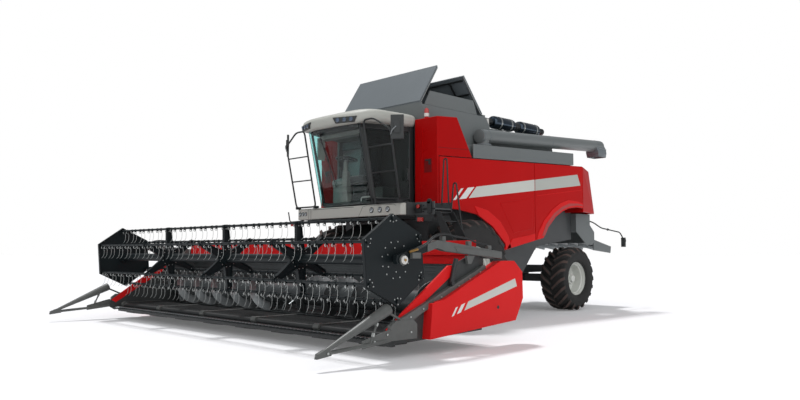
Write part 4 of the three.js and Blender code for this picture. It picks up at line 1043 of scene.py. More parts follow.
def make_reel_arm(name, sign):
    """One arm of the reel, with the drive at its front end and the hoses along it."""
    body = "reel_lift_body"
    bm = bmesh.new()
    outline = [
        (-1.7, 1.055), (-1.7, 1.145), (-2.75, 1.262), (-2.89, 1.275), (-3.05, 1.232), (-3.05, 1.14),
        (-2.89, 1.185), (-2.75, 1.15),
    ]
    side_plate(bm, outline, 3.44, 3.52)
    side_plate(bm, [(-1.72, 1.06), (-1.72, 1.14), (-2.6, 1.2), (-2.55, 1.14)], 3.52, 3.528)
    side_plate(bm, [(-2.35, 1.1), (-2.2, 1.1), (-2.27, 1.0), (-2.33, 1.0)], 3.46, 3.5)
    for y, z in ((-2.76, 1.26), (-2.3, 1.21), (-1.92, 1.16)):
        block(bm, at(3.455, y - 0.03, z - 0.01), at(3.505, y + 0.03, z + 0.06))
    made = piece(f"reel_arm_{name}_rear", place(bm, sign), scuffed_grey, body, 5)
    if sign > 0:
        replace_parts(made, "reel_arms")
    bm = bmesh.new()
    side_plate(
        bm, [(-3.03, 1.235), (-3.03, 1.145), (-3.514, 1.01), (-3.53, 1.05), (-3.52, 1.105)], 3.45, 3.51,
    )
    piece(f"reel_arm_{name}_front", place(bm, sign), reel_coat, body, 5)
    bm = bmesh.new()
    block(bm, at(3.512, -3.33, 1.07), at(3.56, -3.2, 1.135))
    rod(bm, at(3.512, DRIVE_Y, DRIVE_Z), at(3.53, DRIVE_Y, DRIVE_Z), 0.058, sides=28)
    piece(f"reel_drive_{name}_box", place(bm, sign), scuffed_grey, body, 4)
    bm = bmesh.new()
    rod(bm, at(3.528, DRIVE_Y, DRIVE_Z), at(3.545, DRIVE_Y, DRIVE_Z), 0.045, sides=28)
    for k in range(6):
        a = math.tau * k / 6
        spot = at(3.545, DRIVE_Y + 0.03 * math.cos(a), DRIVE_Z + 0.03 * math.sin(a))
        bolt(bm, spot, 0.006, 0.007)
    piece(f"reel_drive_{name}_flange", place(bm, sign), white_lens, body, 1)
    bm = bmesh.new()
    rod(bm, at(3.545, DRIVE_Y, DRIVE_Z), at(3.556, DRIVE_Y, DRIVE_Z), 0.014, sides=20)
    rod(bm, at(3.535, -3.36, 1.14), at(3.535, -3.23, 1.17), 0.014, sides=14)
    piece(f"reel_drive_{name}_fitting", place(bm, sign), brass, body, 1)
    bm = bmesh.new()
    path = [at(*spot) for spot in HOSE_PATH]
    tube(bm, rounded(path, 0.2), 0.009, sides=8)
    tube(bm, rounded([p + Vector((-0.022, 0.01, 0.012)) for p in path], 0.2), 0.007, sides=8)
    piece(f"reel_hoses_{name}", place(bm, sign), hose_rubber, body)


on_both_sides(make_reel_arm)
bm = bmesh.new()
rod(bm, at(-3.5, -1.76, 1.1), at(3.5, -1.76, 1.1), 0.044, sides=24)
piece("reel_cross_tube", bm, black_enamel, "reel_lift_body")

# ---------------------------------------------------------------- cab

ROOF_PLAN = [(0.30, -1.745), (0.70, -1.61), (0.91, -1.33), (0.93, -0.60), (0.92, -0.558)]
ROOF_RINGS = [
    (3.168, -0.22, 0.0), (3.166, -0.16, 0.35), (3.166, -0.09, 0.9), (3.17, -0.045, 1.0),
    (3.185, -0.015, 1.0), (3.215, 0.006, 1.0), (3.26, 0.017, 1.0), (3.305, 0.014, 1.0), (3.34, -0.004, 1.0),
    (3.362, -0.04, 1.0), (3.38, -0.1, 1.0), (3.392, -0.2, 1.0), (3.4, -0.36, 1.0), (3.403, -0.56, 1.0),
]
ROOF_DROOP = 0.05


def roof_loop():
    """The roof's plan, its corners rounded, as points round the cab."""
    half = [Vector((x, y, 0)) for x, y in ROOF_PLAN]
    points = [Y * (-1.735), *half, Y * (-0.556)]
    side = rounded(points, 0.16, 5)
    return side + [Vector((-p.x, p.y, 0)) for p in reversed(side[1:-1])]


def make_roof():
    """The roof shell, lofted through its rings, with a lip that droops ahead of the screen."""
    loop = roof_loop()
    centre = Y * (-1.1)
    bm = bmesh.new()
    rings = []
    for z, grow, lip in ROOF_RINGS:
        ring = bmesh.ops.create_circle(bm, segments=len(loop), radius=1)["verts"]
        for vert, p in zip(ring, loop):
            away = p - centre
            spot = centre + away * (1 + grow / away.length)
            t = min(1.0, max(0.0, (-1.38 - spot.y) / 0.34))
            vert.co = at(spot.x, min(spot.y, -0.558), z - ROOF_DROOP * lip * t * t * (3 - 2 * t))
        rings.append(ring)
        if len(rings) > 1:
            pair = set(rings[-1]) | set(rings[-2])
            edges = [e for e in bm.edges if len(e.link_faces) < 2 and set(e.verts) <= pair]
            bmesh.ops.bridge_loops(bm, edges=edges)
    for ring in (rings[0], rings[-1]):
        bmesh.ops.contextual_create(bm, geom=ring)
    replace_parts(piece("cab_roof_shell", bm, cream_plastic, smooth=50), "cab_roof")


LAMP_Z = 3.2
LAMP_FIRST, LAMP_STEP = 0.18, 0.31


def make_roof_lamps(name, sign):
    """Three round work lamps in a dark recess at the roof's front corner."""
    low = Vector((0.31, -1.749, 0))
    high = Vector((0.68, -1.624, 0))
    along = (high - low).normalized()
    out = Vector((along.y, -along.x, 0)).normalized()
    bm = bmesh.new()
    for k in range(3):
        spot = at(0, 0, LAMP_Z) + low.lerp(high, LAMP_FIRST + LAMP_STEP * k) + out * 0.004
        rod(bm, spot - out * 0.03, spot + out * 0.014, 0.044, 0.04, sides=24)
    recess = [
        at(0, 0, 3.25) + low.lerp(high, -0.08), at(0, 0, 3.247) + low.lerp(high, 1.04),
        at(0, 0, 3.155) + low.lerp(high, 0.92), at(0, 0, 3.152) + low.lerp(high, 0.06),
    ]
    plate(bm, [p - out * 0.02 for p in recess], out * 0.032)
    piece(f"roof_lamp_housing_{name}", place(bm, sign), cast_iron, bevel_mm=4)
    bm = bmesh.new()
    for k in range(3):
        spot = at(0, 0, LAMP_Z) + low.lerp(high, LAMP_FIRST + LAMP_STEP * k) + out * 0.019
        dome = bmesh.new()
        turned(
            dome, [(0.0, 0.0), (0.034, 0.0), (0.034, 0.004), (0.024, 0.009), (0.0, 0.012)], spot, out,
            steps=20,
        )
        join(bm, dome)
    piece(f"roof_lamp_lens_{name}", place(bm, sign), blue_lamp_glass)


def split_glass():
    """The screen and the right-hand window, cut from the one glazed shell along the front corner."""
    source = frame["nodes"]["cab_glazing"]
    panes = (("cab_windscreen", 1, screen_glass), ("cab_window_right", -1, tinted_glass))
    for name, keep, material in panes:
        bm = bmesh.new()
        bm.from_mesh(source.data)
        bmesh.ops.remove_doubles(bm, verts=bm.verts, dist=MERGE_DISTANCE)
        cut = bmesh.ops.bisect_plane(
            bm, geom=bm.verts[:] + bm.edges[:] + bm.faces[:], plane_co=(-0.622 - 0.0005 * keep, 0, 0),
            plane_no=(-keep, 0, 0), clear_outer=True,
        )
        edges = [e for e in cut["geom_cut"] if isinstance(e, bmesh.types.BMEdge)]
        bmesh.ops.holes_fill(bm, edges=edges)
        made = piece(name, bm, material, source["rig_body"], smooth=20)
        if keep > 0:
            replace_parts(made, "cab_glazing")


CAB_FLOOR, CAB_HEAD, CAB_REAR, CAB_HALF = 1.902, 3.168, -0.565, 0.915
LID = 3.1


def make_cab_frame():
    """Floor tray, slim pillars, header rails and the dark rear wall of the cab."""
    bm = bmesh.new()

    def front(x, z):
        t = (z - CAB_FLOOR) / (CAB_HEAD - CAB_FLOOR)
        return at(x, -1.24 - 0.29 * t + 0.03, z)

    tray = [
        at(-0.6, -1.22, CAB_FLOOR), at(0.6, -1.22, CAB_FLOOR), at(CAB_HALF, -0.62, CAB_FLOOR),
        at(CAB_HALF, CAB_REAR, CAB_FLOOR),
    ]
    tray += [at(-CAB_HALF, CAB_REAR, CAB_FLOOR), at(-CAB_HALF, -0.62, CAB_FLOOR)]
    plate(bm, tray, Z * 0.03)
    lid = [at(-0.58, -1.5, LID), at(0.58, -1.5, LID), at(0.9, -0.62, LID), at(0.9, CAB_REAR, LID)]
    lid += [at(-0.9, CAB_REAR, LID), at(-0.9, -0.62, LID)]
    plate(bm, lid, Z * 0.066)
    for sign in (1, -1):
        x = sign * 0.617
        section = [
            front(x, CAB_FLOOR), front(x - sign * 0.03, CAB_FLOOR),
            front(x - sign * 0.03, CAB_FLOOR) + Y * 0.035,
            front(x, CAB_FLOOR) + Vector((sign * 0.01, 0.035, 0)),
        ]
        plate(bm, section, front(x, CAB_HEAD) - front(x, CAB_FLOOR))
        block(bm, at(sign * 0.86, -0.66, CAB_FLOOR), at(sign * CAB_HALF, CAB_REAR, CAB_HEAD))
        sill = [
            at(sign * 0.6, -1.2, CAB_FLOOR), at(sign * 0.9, -0.62, CAB_FLOOR), at(sign * 0.9, -0.62, 1.975),
            at(sign * 0.6, -1.2, 1.975),
        ]
        plate(bm, sill, X * (-sign * 0.04))
    slabs(
        bm,
        (-0.6, -1.225, CAB_FLOOR, 0.6, -1.19, 1.955),
        (-CAB_HALF, -0.6, CAB_FLOOR, CAB_HALF, CAB_REAR, 2.28),
        (-CAB_HALF, -0.6, 2.95, CAB_HALF, CAB_REAR, CAB_HEAD),
        (-0.35, -0.6, 2.28, CAB_HALF, CAB_REAR, 2.95),
    )
    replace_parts(piece("cab_shell", bm, black_plastic, bevel_mm=5), "cab_frame")
    bm = bmesh.new()
    block(bm, at(-0.745, -1.26, 2.72), at(-0.71, -1.1, LID))
    piece("cab_liner", bm, trim_plastic, bevel_mm=12)
    bm = bmesh.new()
    block(bm, at(-0.55, -1.36, 3.02), at(0.55, -1.2, LID))
    piece("cab_header_rail", bm, cab_plastic, bevel_mm=12)


def make_inside():
    """Steering column and wheel, consoles and levers, and the seat on its sprung stand."""
    bm = bmesh.new()
    side_plate(
        bm, [(-1.13, 1.94), (-1.03, 1.94), (-1.05, 2.2), (-1.075, 2.48), (-1.145, 2.5), (-1.155, 2.2)],
        -0.2, -0.08,
    )
    block(bm, at(-0.23, -1.17, 1.925), at(-0.05, -1.0, 1.97))
    rod(bm, at(-0.14, -1.12, 2.48), at(-0.14, -1.108, 2.67), 0.035, sides=20)
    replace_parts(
        piece("steering_pedestal", bm, cab_plastic, bevel_mm=12), "steering_column",
    )
    bm = bmesh.new()
    hub = at(-0.14, -1.105, 2.69)
    tilt = Vector((0, 0.12, 1)).normalized()
    rim = [
        (0.178 + 0.013 * math.cos(math.tau * i / 8), 0.013 * math.sin(math.tau * i / 8)) for i in range(8)
    ]
    turned(bm, rim, hub, tilt, steps=40)
    turned(
        bm, [(0.0, -0.02), (0.045, -0.02), (0.05, 0.0), (0.035, 0.012), (0.0, 0.014)], hub, tilt, steps=24,
    )
    for k in range(3):
        a = math.radians(90 + 120 * k)
        spoke = Vector((math.cos(a), math.sin(a), 0))
        rod(bm, hub + spoke * 0.04, hub + spoke * 0.17, 0.011, sides=8)
    piece("steering_wheel", bm, black_plastic)
    bm = bmesh.new()
    block(bm, at(-0.62, -1.0, 1.93), at(-0.34, -0.66, 2.36))
    side_plate(bm, [(-1.02, 2.28), (-1.02, 2.36), (-0.8, 2.44), (-0.66, 2.44), (-0.66, 2.28)], -0.62, -0.34)
    block(bm, at(0.33, -0.9, 1.93), at(0.52, -0.62, 2.2))
    piece("cab_consoles", bm, cab_plastic, bevel_mm=14)
    bm = bmesh.new()
    rod(bm, at(-0.45, -0.93, 2.4), at(-0.45, -0.97, 2.55), 0.014, sides=12)
    ball(bm, at(-0.45, -0.975, 2.57), 0.032)
    for k in range(4):
        rod(bm, at(-0.57 + 0.05 * k, -0.75, 2.44), at(-0.57 + 0.05 * k, -0.75, 2.47), 0.012, sides=10)
    piece("cab_controls", bm, black_plastic, bevel_mm=3)
    bm = bmesh.new()
    block(bm, at(-0.2, -0.96, 1.93), at(0.2, -0.66, 2.0))
    for k in range(5):
        low, high = 0.19 - 0.006 * k, 0.026
        z = 2.0 + 0.052 * k
        slabs(
            bm,
            (-low, -0.95 + 0.006 * k, z, low, -0.67 - 0.006 * k, z + high),
            (-low + 0.02, -0.93, z + high, low - 0.02, -0.69, z + 0.052),
        )
    block(bm, at(-0.22, -1.02, 2.25), at(0.22, -0.64, 2.285))
    piece("seat_suspension", bm, black_plastic, bevel_mm=5)
    make_pads()


def pad(size, crown):
    """A stuffed pad: a box cut fine, its faces crowned and its edges drawn in, with sewn channels."""
    bm = bmesh.new()
    bmesh.ops.create_cube(bm, size=2)
    bmesh.ops.subdivide_edges(bm, edges=bm.edges[:], cuts=11, use_grid_fill=True)
    for vert in bm.verts:
        x, y, z = vert.co
        round_off = Vector((x, y, z)).normalized() * max(abs(x), abs(y), abs(z))
        shape = Vector((x, y, z)).lerp(round_off, 0.24)
        bulge = (1 - x**4) * (1 - y**4)
        shape.z += crown * bulge * (1 if z > 0 else 0.3) * z
        if z > 0.7:
            channel = min(abs(x - edge) for edge in (-0.36, 0.36))
            shape.z -= 0.13 * max(0.0, 1 - channel / 0.14)
        vert.co = Vector((shape.x * size[0], shape.y * size[1], shape.z * size[2]))
    return bm


SEAT_PADS = (
    ("seat_cushion", (0, -0.85, 2.345), (0.25, 0.22, 0.06), 0.25, 0),
    ("seat_back", (0, -0.685, 2.68), (0.235, 0.3, 0.062), 0.25, 84),
    ("seat_headrest", (0, -0.655, 3.02), (0.14, 0.08, 0.05), 0.2, 84),
)


def make_pads():
    """Seat pads: the cushion lies flat, the back and the headrest lean a little rearwards."""
    for name, centre, size, crown, lean in SEAT_PADS:
        bm = pad(size, crown)
        if lean:
            bmesh.ops.rotate(bm, matrix=Matrix.Rotation(math.radians(lean), 3, "X"), verts=bm.verts)
        bmesh.ops.translate(bm, vec=at(*centre), verts=bm.verts)
        made = piece(name, bm, seat_cloth, smooth=80)
        soft = made.modifiers.new("soft", "SUBSURF")
        soft.levels = 1
        soft.render_levels = 1
        if name == "seat_cushion":
            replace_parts(made, "operator_seat")


def make_fascia():
    """Lamps in angular recesses at both ends of the trim below the screen, and dark lines along its
    pressings: painted shade in their creases.
    """
    front = axle_y - 1.24
    bm = bmesh.new()
    bright = bmesh.new()
    for x, radius in (
        (0.63, 0.046), (0.82, 0.046), (0.995, 0.046), (-1.22, 0.034), (-1.14, 0.034), (-1.06, 0.034),
    ):
        spot = Vector((x, front, 1.8))
        rod(bm, spot + Y * 0.01, spot - Y * 0.008, radius, sides=28)
        ahead = Y * (-1)
        turned(
            bright,
            [
                (0.0, 0.002), (radius * 0.72, 0.006), (radius * 0.8, 0.014), (radius * 0.72, 0.018),
                (0.0, 0.022),
            ],
            spot + Y * 0.004, ahead, steps=24,
        )
    piece("fascia_lamp_rings", bm, black_plastic, bevel_mm=1.5)
    piece("fascia_lamp_lenses", bright, lamp_reflector)
    bm = bmesh.new()
    # Black rods along the pressed lines: painted shade in the creases.
    line = [(0.32, 1.71), (0.42, 1.86), (0.5, 1.872), (1.12, 1.872), (1.18, 1.85)]
    for (xa, za), (xb, zb) in zip(line, line[1:]):
        a, b = Vector((xa, front - 0.0005, za)), Vector((xb, front - 0.0005, zb))
        rod(bm, a, b, 0.003, sides=6)
    for x in (-0.92, -0.98):
        rod(bm, Vector((x, front - 0.0005, 1.71)), Vector((x, front - 0.0005, 1.88)), 0.003, sides=6)
    block(bm, Vector((-0.85, front - 0.002, 1.862)), Vector((0.2, front + 0.004, 1.87)))
    piece("fascia_crease_shade", bm, black_plastic)


def make_wiper():
    """The wiper, hung from the top of the screen."""
    bm = bmesh.new()
    foot = at(-0.3, -1.536, 3.08)
    tube(bm, [foot, foot + Vector((0.01, -0.02, -0.05)), at(-0.21, -1.43, 2.6)], 0.011, sides=8)
    tube(bm, [at(-0.26, -1.485, 2.86), at(-0.2, -1.415, 2.55), at(-0.13, -1.335, 2.2)], 0.009, sides=6)
    rod(bm, foot + Y * 0.03, foot + Y * (-0.03), 0.024, sides=14)
    piece("screen_wiper", bm, black_plastic)


def make_mirror(name, sign):
    """The bent tube frame at the cab's front corner, its arm and the long mirror on it."""
    bm = bmesh.new()

    def post(x, f):
        return at(x, -1.27 - 0.26 * f, 1.914 + 1.27 * f)

    loop = [post(1.29, 0.0), post(1.31, 0.84), post(0.98, 1.0), post(0.75, 1.0), post(0.75, 0.0)]
    closed = rounded([post(1.1, 0.0), *loop, loop[0], post(1.1, 0.0)], 0.07)
    tube(bm, closed, 0.0145, sides=10)
    for f in (0.356, 0.67):
        tube(bm, [post(0.75, f), post(1.3, f)], 0.0115, sides=8)
    tube(
        bm, rounded([post(1.31, 0.8), at(1.34, -1.45, 2.98), at(1.36, -1.43, 3.0)], 0.03), 0.0115, sides=10,
    )
    for x in (0.77, 1.27):
        block(bm, at(x - 0.02, -1.29, 1.885), at(x + 0.02, -1.2, 1.93))
    made = piece(f"mirror_rail_{name}", place(bm, sign), black_enamel)
    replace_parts(made, f"mirror_frame_{name}")
    centre = at(1.375, -1.41, 3.015)
    turn = Matrix.Rotation(math.radians(36), 3, "Z")
    housing, pane = bmesh.new(), bmesh.new()
    block(housing, (-0.1, -0.02, -0.185), (0.1, 0.018, 0.185))
    block(housing, (-0.05, -0.035, -0.1), (0.05, -0.018, 0.1))
    block(pane, (-0.088, 0.018, -0.172), (0.088, 0.021, 0.172))
    for bm in (housing, pane):
        bmesh.ops.rotate(bm, matrix=turn, verts=bm.verts)
        bmesh.ops.translate(bm, vec=centre, verts=bm.verts)
    bracket = bmesh.new()
    path = [at(1.39, -1.45, 3.02), at(1.34, -1.49, 2.96), at(1.31, -1.48, 2.9)]
    tube(bracket, rounded(path, 0.03), 0.008, sides=8)
    piece(f"mirror_housing_{name}", place(housing, sign), cast_iron, "machine", 14)
    piece(f"mirror_bracket_{name}", place(bracket, sign), galvanised)
    piece(f"mirror_pane_{name}", place(pane, sign), mirror_glass)


def make_door():
    """A door of one big pane in a slim frame, twisted as the cab's side is."""
    corners = [
        at(0.636, -1.252, 1.985), at(0.64, -1.5, 3.09), at(0.912, -0.675, 3.09), at(0.912, -0.675, 1.985),
    ]
    foot, head, rear_head, rear_foot = corners
    out = Vector((0.9, -0.42, 0)).normalized()
    bm = bmesh.new()
    middle_foot = foot.lerp(rear_foot, 0.5)
    loop = rounded([middle_foot, foot, head, rear_head, rear_foot, middle_foot], 0.05, 4)
    tube(bm, loop, 0.015, sides=8)
    made = piece("cab_door_rim", bm, black_plastic, "cab_door_body")
    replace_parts(made, "cab_door")
    bm = bmesh.new()
    along = (rear_foot - foot).normalized() * 0.05
    plate(bm, [foot, foot + along, head + along, head], out * 0.02)
    piece("cab_door_post", bm, cast_iron, "cab_door_body", 5)
    bm = bmesh.new()
    bmesh.ops.create_grid(bm, x_segments=8, y_segments=8, size=1)
    for vert in bm.verts:
        u, v = 0.02 + 0.48 * (vert.co.x + 1), 0.02 + 0.48 * (vert.co.y + 1)
        vert.co = foot.lerp(rear_foot, u).lerp(head.lerp(rear_head, u), v)
    bmesh.ops.recalc_face_normals(bm, faces=bm.faces)
    bmesh.ops.solidify(bm, geom=bm.faces[:], thickness=0.005)
    # The pane's darker grey tint is painted shade for the cab's inside.
    made = piece("cab_door_pane", bm, door_glass, "cab_door_body", smooth=20)
    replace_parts(made, "cab_door_glass")


def make_door_trim():
    """Door handle, and the grab handle behind the screen."""
    bm = bmesh.new()
    bent_tube(
        bm, ((0.955, -0.78, 2.28), (0.985, -0.78, 2.28), (0.985, -0.78, 2.46), (0.955, -0.78, 2.46)), 0.02,
        0.011,
    )
    piece("cab_door_handle", bm, black_plastic, "cab_door_body")
    bm = bmesh.new()
    bent_tube(
        bm, ((0.33, -1.19, 1.925), (0.33, -1.19, 2.02), (0.57, -1.18, 2.02), (0.57, -1.18, 1.925)), 0.04,
        0.011,
    )
    piece("cab_grab_handle", bm, bright_strap)


make_roof()
on_both_sides(make_roof_lamps)
split_glass()
make_cab_frame()
make_inside()
make_fascia()
make_wiper()
on_both_sides(make_mirror)
make_door_trim()
make_door()

# ---------------------------------------------------------------- body sides


PANEL_FACE = 1.45
SEAM_FRONT, SEAM_REAR = 2.039, 2.051


def stripe_top(y):
    """Height of the stripe's upper edge at y from the front axle."""
    return 2.22 + (y - 0.36) * 0.1401


def stripe_bottom(y):
    """Height of the stripe's lower edge at y from the front axle."""
    return 2.02 + (y - 0.16) * 0.12464


FRONT_END, REAR_START = SEAM_FRONT - 0.004, SEAM_REAR + 0.004
STRIPE_FRONT = [
    (0.16, 2.02), (0.36, 2.22), (FRONT_END, stripe_top(SEAM_FRONT)), (FRONT_END, stripe_bottom(SEAM_FRONT)),
]
STRIPE_REAR = [
    (REAR_START, stripe_bottom(SEAM_REAR)), (REAR_START, stripe_top(SEAM_REAR)), (3.5, 2.66), (3.61, 2.45),
]
BAR_WIDE = [(-0.08, 1.988), (0.1, 2.012), (0.31, 2.213), (0.14, 2.19)]
BAR_NARROW = [(-0.23, 1.968), (-0.16, 1.978), (0.03, 2.174), (-0.03, 2.166)]
# The rear stripe takes the darker film: painted shade.
SIDE_FILMS = (
    ("stripe_front", STRIPE_FRONT, stripe_film, "front"), ("stripe_rear", STRIPE_REAR, shaded_stripe_film, "rear"),
    ("stripe_bar_wide", BAR_WIDE, white_film, "front"),
    ("stripe_bar_narrow", BAR_NARROW, white_film, "front"),
)
FLARE = [(0.42, 1.735), (0.78, 1.575), (1.13, 1.29), (1.15, 1.18), (1.3, 1.21), (1.22, 1.42)]
FLARE += [(1.0, 1.66), (0.66, 1.84), (0.3, 1.9)]
FLARE_TAIL = [(1.16, 1.185), (2.03, 1.352), (2.03, 1.47), (1.34, 1.37)]
FIELD = [(1.0, 1.98), (1.95, 2.11), (1.95, 1.56), (1.38, 1.47)]
ARCH = [(2.2, 1.388), (2.29, 1.4), (2.44, 1.59), (2.7, 1.8), (2.94, 1.915), (3.19, 1.99)]
ARCH += [(3.48, 2.022), (3.68, 2.012), (3.68, 2.1), (3.48, 2.13), (3.16, 2.14), (2.88, 2.07)]
ARCH += [(2.6, 1.93), (2.32, 1.72), (2.14, 1.5), (2.08, 1.37)]
GUARD = [(2.33, 1.44), (2.46, 1.62), (2.71, 1.83), (2.95, 1.945), (3.2, 2.018), (3.48, 2.05)]
GUARD += [(3.66, 2.045), (3.66, 2.075), (3.48, 2.088), (3.18, 2.075), (2.92, 2.0)]
GUARD += [(2.65, 1.87), (2.38, 1.66), (2.24, 1.44)]
CREASE = [(2.1, 2.17), (3.66, 2.37), (3.66, 2.362), (2.1, 2.162)]
# Raised pressings: name, panel, outlines, back and face of the relief, finish and edge width in mm.
# The flare, the arch and the crease take the lighter red: a painted highlight on their raised faces.
PRESSINGS = (
    ("front_flare", "front", (FLARE, FLARE_TAIL), -0.004, 0.008, light_red_and_highlight, 4),
    ("front_field", "front", (FIELD,), -0.004, 0.005, red_enamel, 5),
    ("rear_arch", "rear", (ARCH,), -0.004, 0.01, light_red_and_highlight, 4),
    ("rear_perforation", "rear", (GUARD,), 0.006, 0.0135, guard_enamel, 0.0),
    ("rear_crease_highlight", "rear", (CREASE,), -0.002, 0.004, light_red_and_highlight, 0.0),
)


def make_side(name, sign):
    """Stripes and raised pressings of one side, on the two panels that carry them."""
    for part, outline, material, panel in SIDE_FILMS:
        body = f"panel_{panel}_{name}_body"
        film(f"{part}_{name}", outline, PANEL_FACE, material, body, sign)
    for part, panel, outlines, back, front, material, bevel_mm in PRESSINGS:
        bm = bmesh.new()
        for outline in outlines:
            side_plate(bm, outline, PANEL_FACE + back, PANEL_FACE + front)
        body = f"panel_{panel}_{name}_body"
        piece(f"panel_{part}_{name}", place(bm, sign), material, body, bevel_mm)


def make_column(name, sign):
    """Pressed ribs, the recessed handle and the seam of the corner panel."""
    face = at(0, -0.6, 0).y
    rib_y = face + 0.004
    bm = bmesh.new()
    for z, x0, x1 in ((3.05, 1.12, 1.3), (2.72, 1.08, 1.24), (2.16, 1.06, 1.24)):
        corners = ((x0, z), (x1, z + 0.07), (x1, z + 0.078), (x0, z + 0.008))
        plate(bm, [Vector((x, rib_y, height)) for x, height in corners], Y * (-0.009))
    edge = ((1.1, 2.0), (1.13, 3.12), (1.14, 3.12), (1.11, 2.0))
    plate(bm, [Vector((x, rib_y, z)) for x, z in edge], Y * (-0.01))
    piece(f"column_ribs_{name}", place(bm, sign), red_enamel)
    # The handle's dish takes the darker red: painted shade in its recess.
    bm = bmesh.new()
    block(bm, Vector((1.17, face - 0.004, 2.4)), Vector((1.33, face + 0.01, 2.62)))
    piece(f"column_handle_dish_{name}", place(bm, sign), shaded_red, bevel_mm=3)
    bm = bmesh.new()
    block(bm, Vector((1.27, face - 0.016, 2.52)), Vector((1.31, face - 0.002, 2.6)))
    block(bm, Vector((1.2, face - 0.014, 2.585)), Vector((1.31, face - 0.002, 2.605)))
    piece(f"column_handle_{name}", place(bm, sign), black_plastic, bevel_mm=3)
    bm = bmesh.new()
    seam = [(-0.58, 2.79), (0.19, 2.822), (0.19, 2.814), (-0.58, 2.782)]
    side_plate(bm, seam, PANEL_FACE - 0.002, PANEL_FACE + 0.002)
    piece(f"column_seam_{name}", place(bm, sign), shaded_red)


def make_beacon():
    """Flashing beacon on the left corner column, red over white."""
    foot = at(1.13, -0.5, 3.275)
    bm = bmesh.new()
    rod(bm, foot - Z * 0.03, foot + Z * 0.02, 0.055, sides=24)
    rod(bm, foot + Z * 0.02, foot + Z * 0.045, 0.035, sides=20)
    piece("beacon_foot_left", bm, red_enamel, bevel_mm=3)
    bm = bmesh.new()
    turned(
        bm, [(0.0, 0.045), (0.042, 0.045), (0.044, 0.09), (0.04, 0.1), (0.0, 0.1)], foot, (0, 0, 1),
        steps=24,
    )
    piece("beacon_base_left", bm, white_lens)
    bm = bmesh.new()
    turned(
        bm, [(0.0, 0.1), (0.036, 0.1), (0.037, 0.15), (0.03, 0.175), (0.014, 0.188), (0.0, 0.19)], foot,
        (0, 0, 1), steps=24,
    )
    piece("beacon_lens_left", bm, red_lens)


on_both_sides(make_side)
on_both_sides(make_column)
make_beacon()

# ---------------------------------------------------------------- tank, deck, auger and exhaust


def make_flap_trim(end):
    """Bright folded edge round a flap, and ribs on its inner face."""
    body = f"flap_{end}_body"
    low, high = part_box(f"tank_flap_{end}")
    hinge = at(0, -0.48 if end == "front" else 1.12, 3.6)
    tip_y = high.y if end == "front" else low.y
    up = Vector((0, tip_y - hinge.y, high.z - hinge.z)).normalized()
    reach = Vector((0, tip_y - hinge.y, high.z - hinge.z)).length
    inward = Vector((0, up.z, -up.y)) * (1 if end == "front" else -1)
    bm = bmesh.new()
    for x in (-0.6, 0.0, 0.6):
        a = hinge + up * 0.1 + inward * 0.012 + X * (x)
        b = hinge + up * (reach - 0.08) + inward * 0.012 + X * (x)
        rib = [a, b, b + inward * 0.022, a + inward * 0.022]
        plate(bm, rib, X * 0.03)
    for along in (0.12, 0.42, 0.7):
        a = hinge + up * along + inward * 0.012
        rib = [a, a + up * 0.03, a + up * 0.03 + inward * 0.02, a + inward * 0.02]
        plate(bm, [p - X * 0.92 for p in rib], X * 1.84)
    piece(f"flap_{end}_ribs", bm, black_enamel, body, 2)
    bm = bmesh.new()
    for x in (-0.968, 0.956):
        a = hinge + up * 0.02 + inward * 0.01 + X * (x)
        b = hinge + up * (reach - 0.03) + inward * 0.01 + X * (x)
        plate(bm, [a, b, b + inward * 0.016, a + inward * 0.016], X * 0.012)
    piece(f"flap_{end}_edges", bm, bright_strap, body, 1)


# A can's profile: radius, which end it counts from, and how far in from that end.
CAN = [(0.0, 0, 0.0), (0.062, 0, 0.0), (0.095, 0, 0.012), (0.114, 0, 0.04), (0.12, 0, 0.075)]
CAN += [(0.12, 1, -0.06), (0.112, 1, -0.022), (0.095, 1, -0.006), (0.062, 1, 0.0), (0.0, 1, 0.0)]
EXHAUST_X, EXHAUST_Z = 0.8, 3.55


def on_exhaust(y):
    """A point on the line of the exhaust's cans."""
    return at(EXHAUST_X, y, EXHAUST_Z)


def make_exhaust():
    """Two polished cans in line, the pipes between them, their straps and feet."""
    bm = bmesh.new()
    for ends in ((1.6, 2.25), (2.41, 3.06)):
        turned(bm, [(radius, ends[k] + inset) for radius, k, inset in CAN], on_exhaust(0), Y, steps=40)
    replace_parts(piece("exhaust_cans", bm, stainless), "exhaust")
    bm = bmesh.new()
    for y0, y1, radius in (
        (1.3, 1.62, 0.058), (2.24, 2.42, 0.085), (3.05, 3.25, 0.06), (3.18, 3.245, 0.066),
    ):
        rod(bm, on_exhaust(y0), on_exhaust(y1), radius, sides=28)
    elbow = rounded([on_exhaust(1.42), on_exhaust(1.3), at(EXHAUST_X, 1.3, 3.3)], 0.1)
    tube(bm, elbow, 0.055, sides=24)
    piece("exhaust_pipes", bm, black_enamel)
    bm = bmesh.new()
    for y in (1.8, 2.12, 2.52, 2.94):
        rod(bm, on_exhaust(y - 0.018), on_exhaust(y + 0.018), 0.1225, sides=40)
    for y in (1.9, 2.72):
        block(bm, at(EXHAUST_X - 0.05, y - 0.03, 3.36), at(EXHAUST_X + 0.05, y + 0.03, 3.44))
    piece("exhaust_straps", bm, bright_strap, bevel_mm=1)


AUGER_NEAR = at(1.25, 0.8, 3.135)
AUGER_FAR = at(1.25, 4.9, 3.3728)


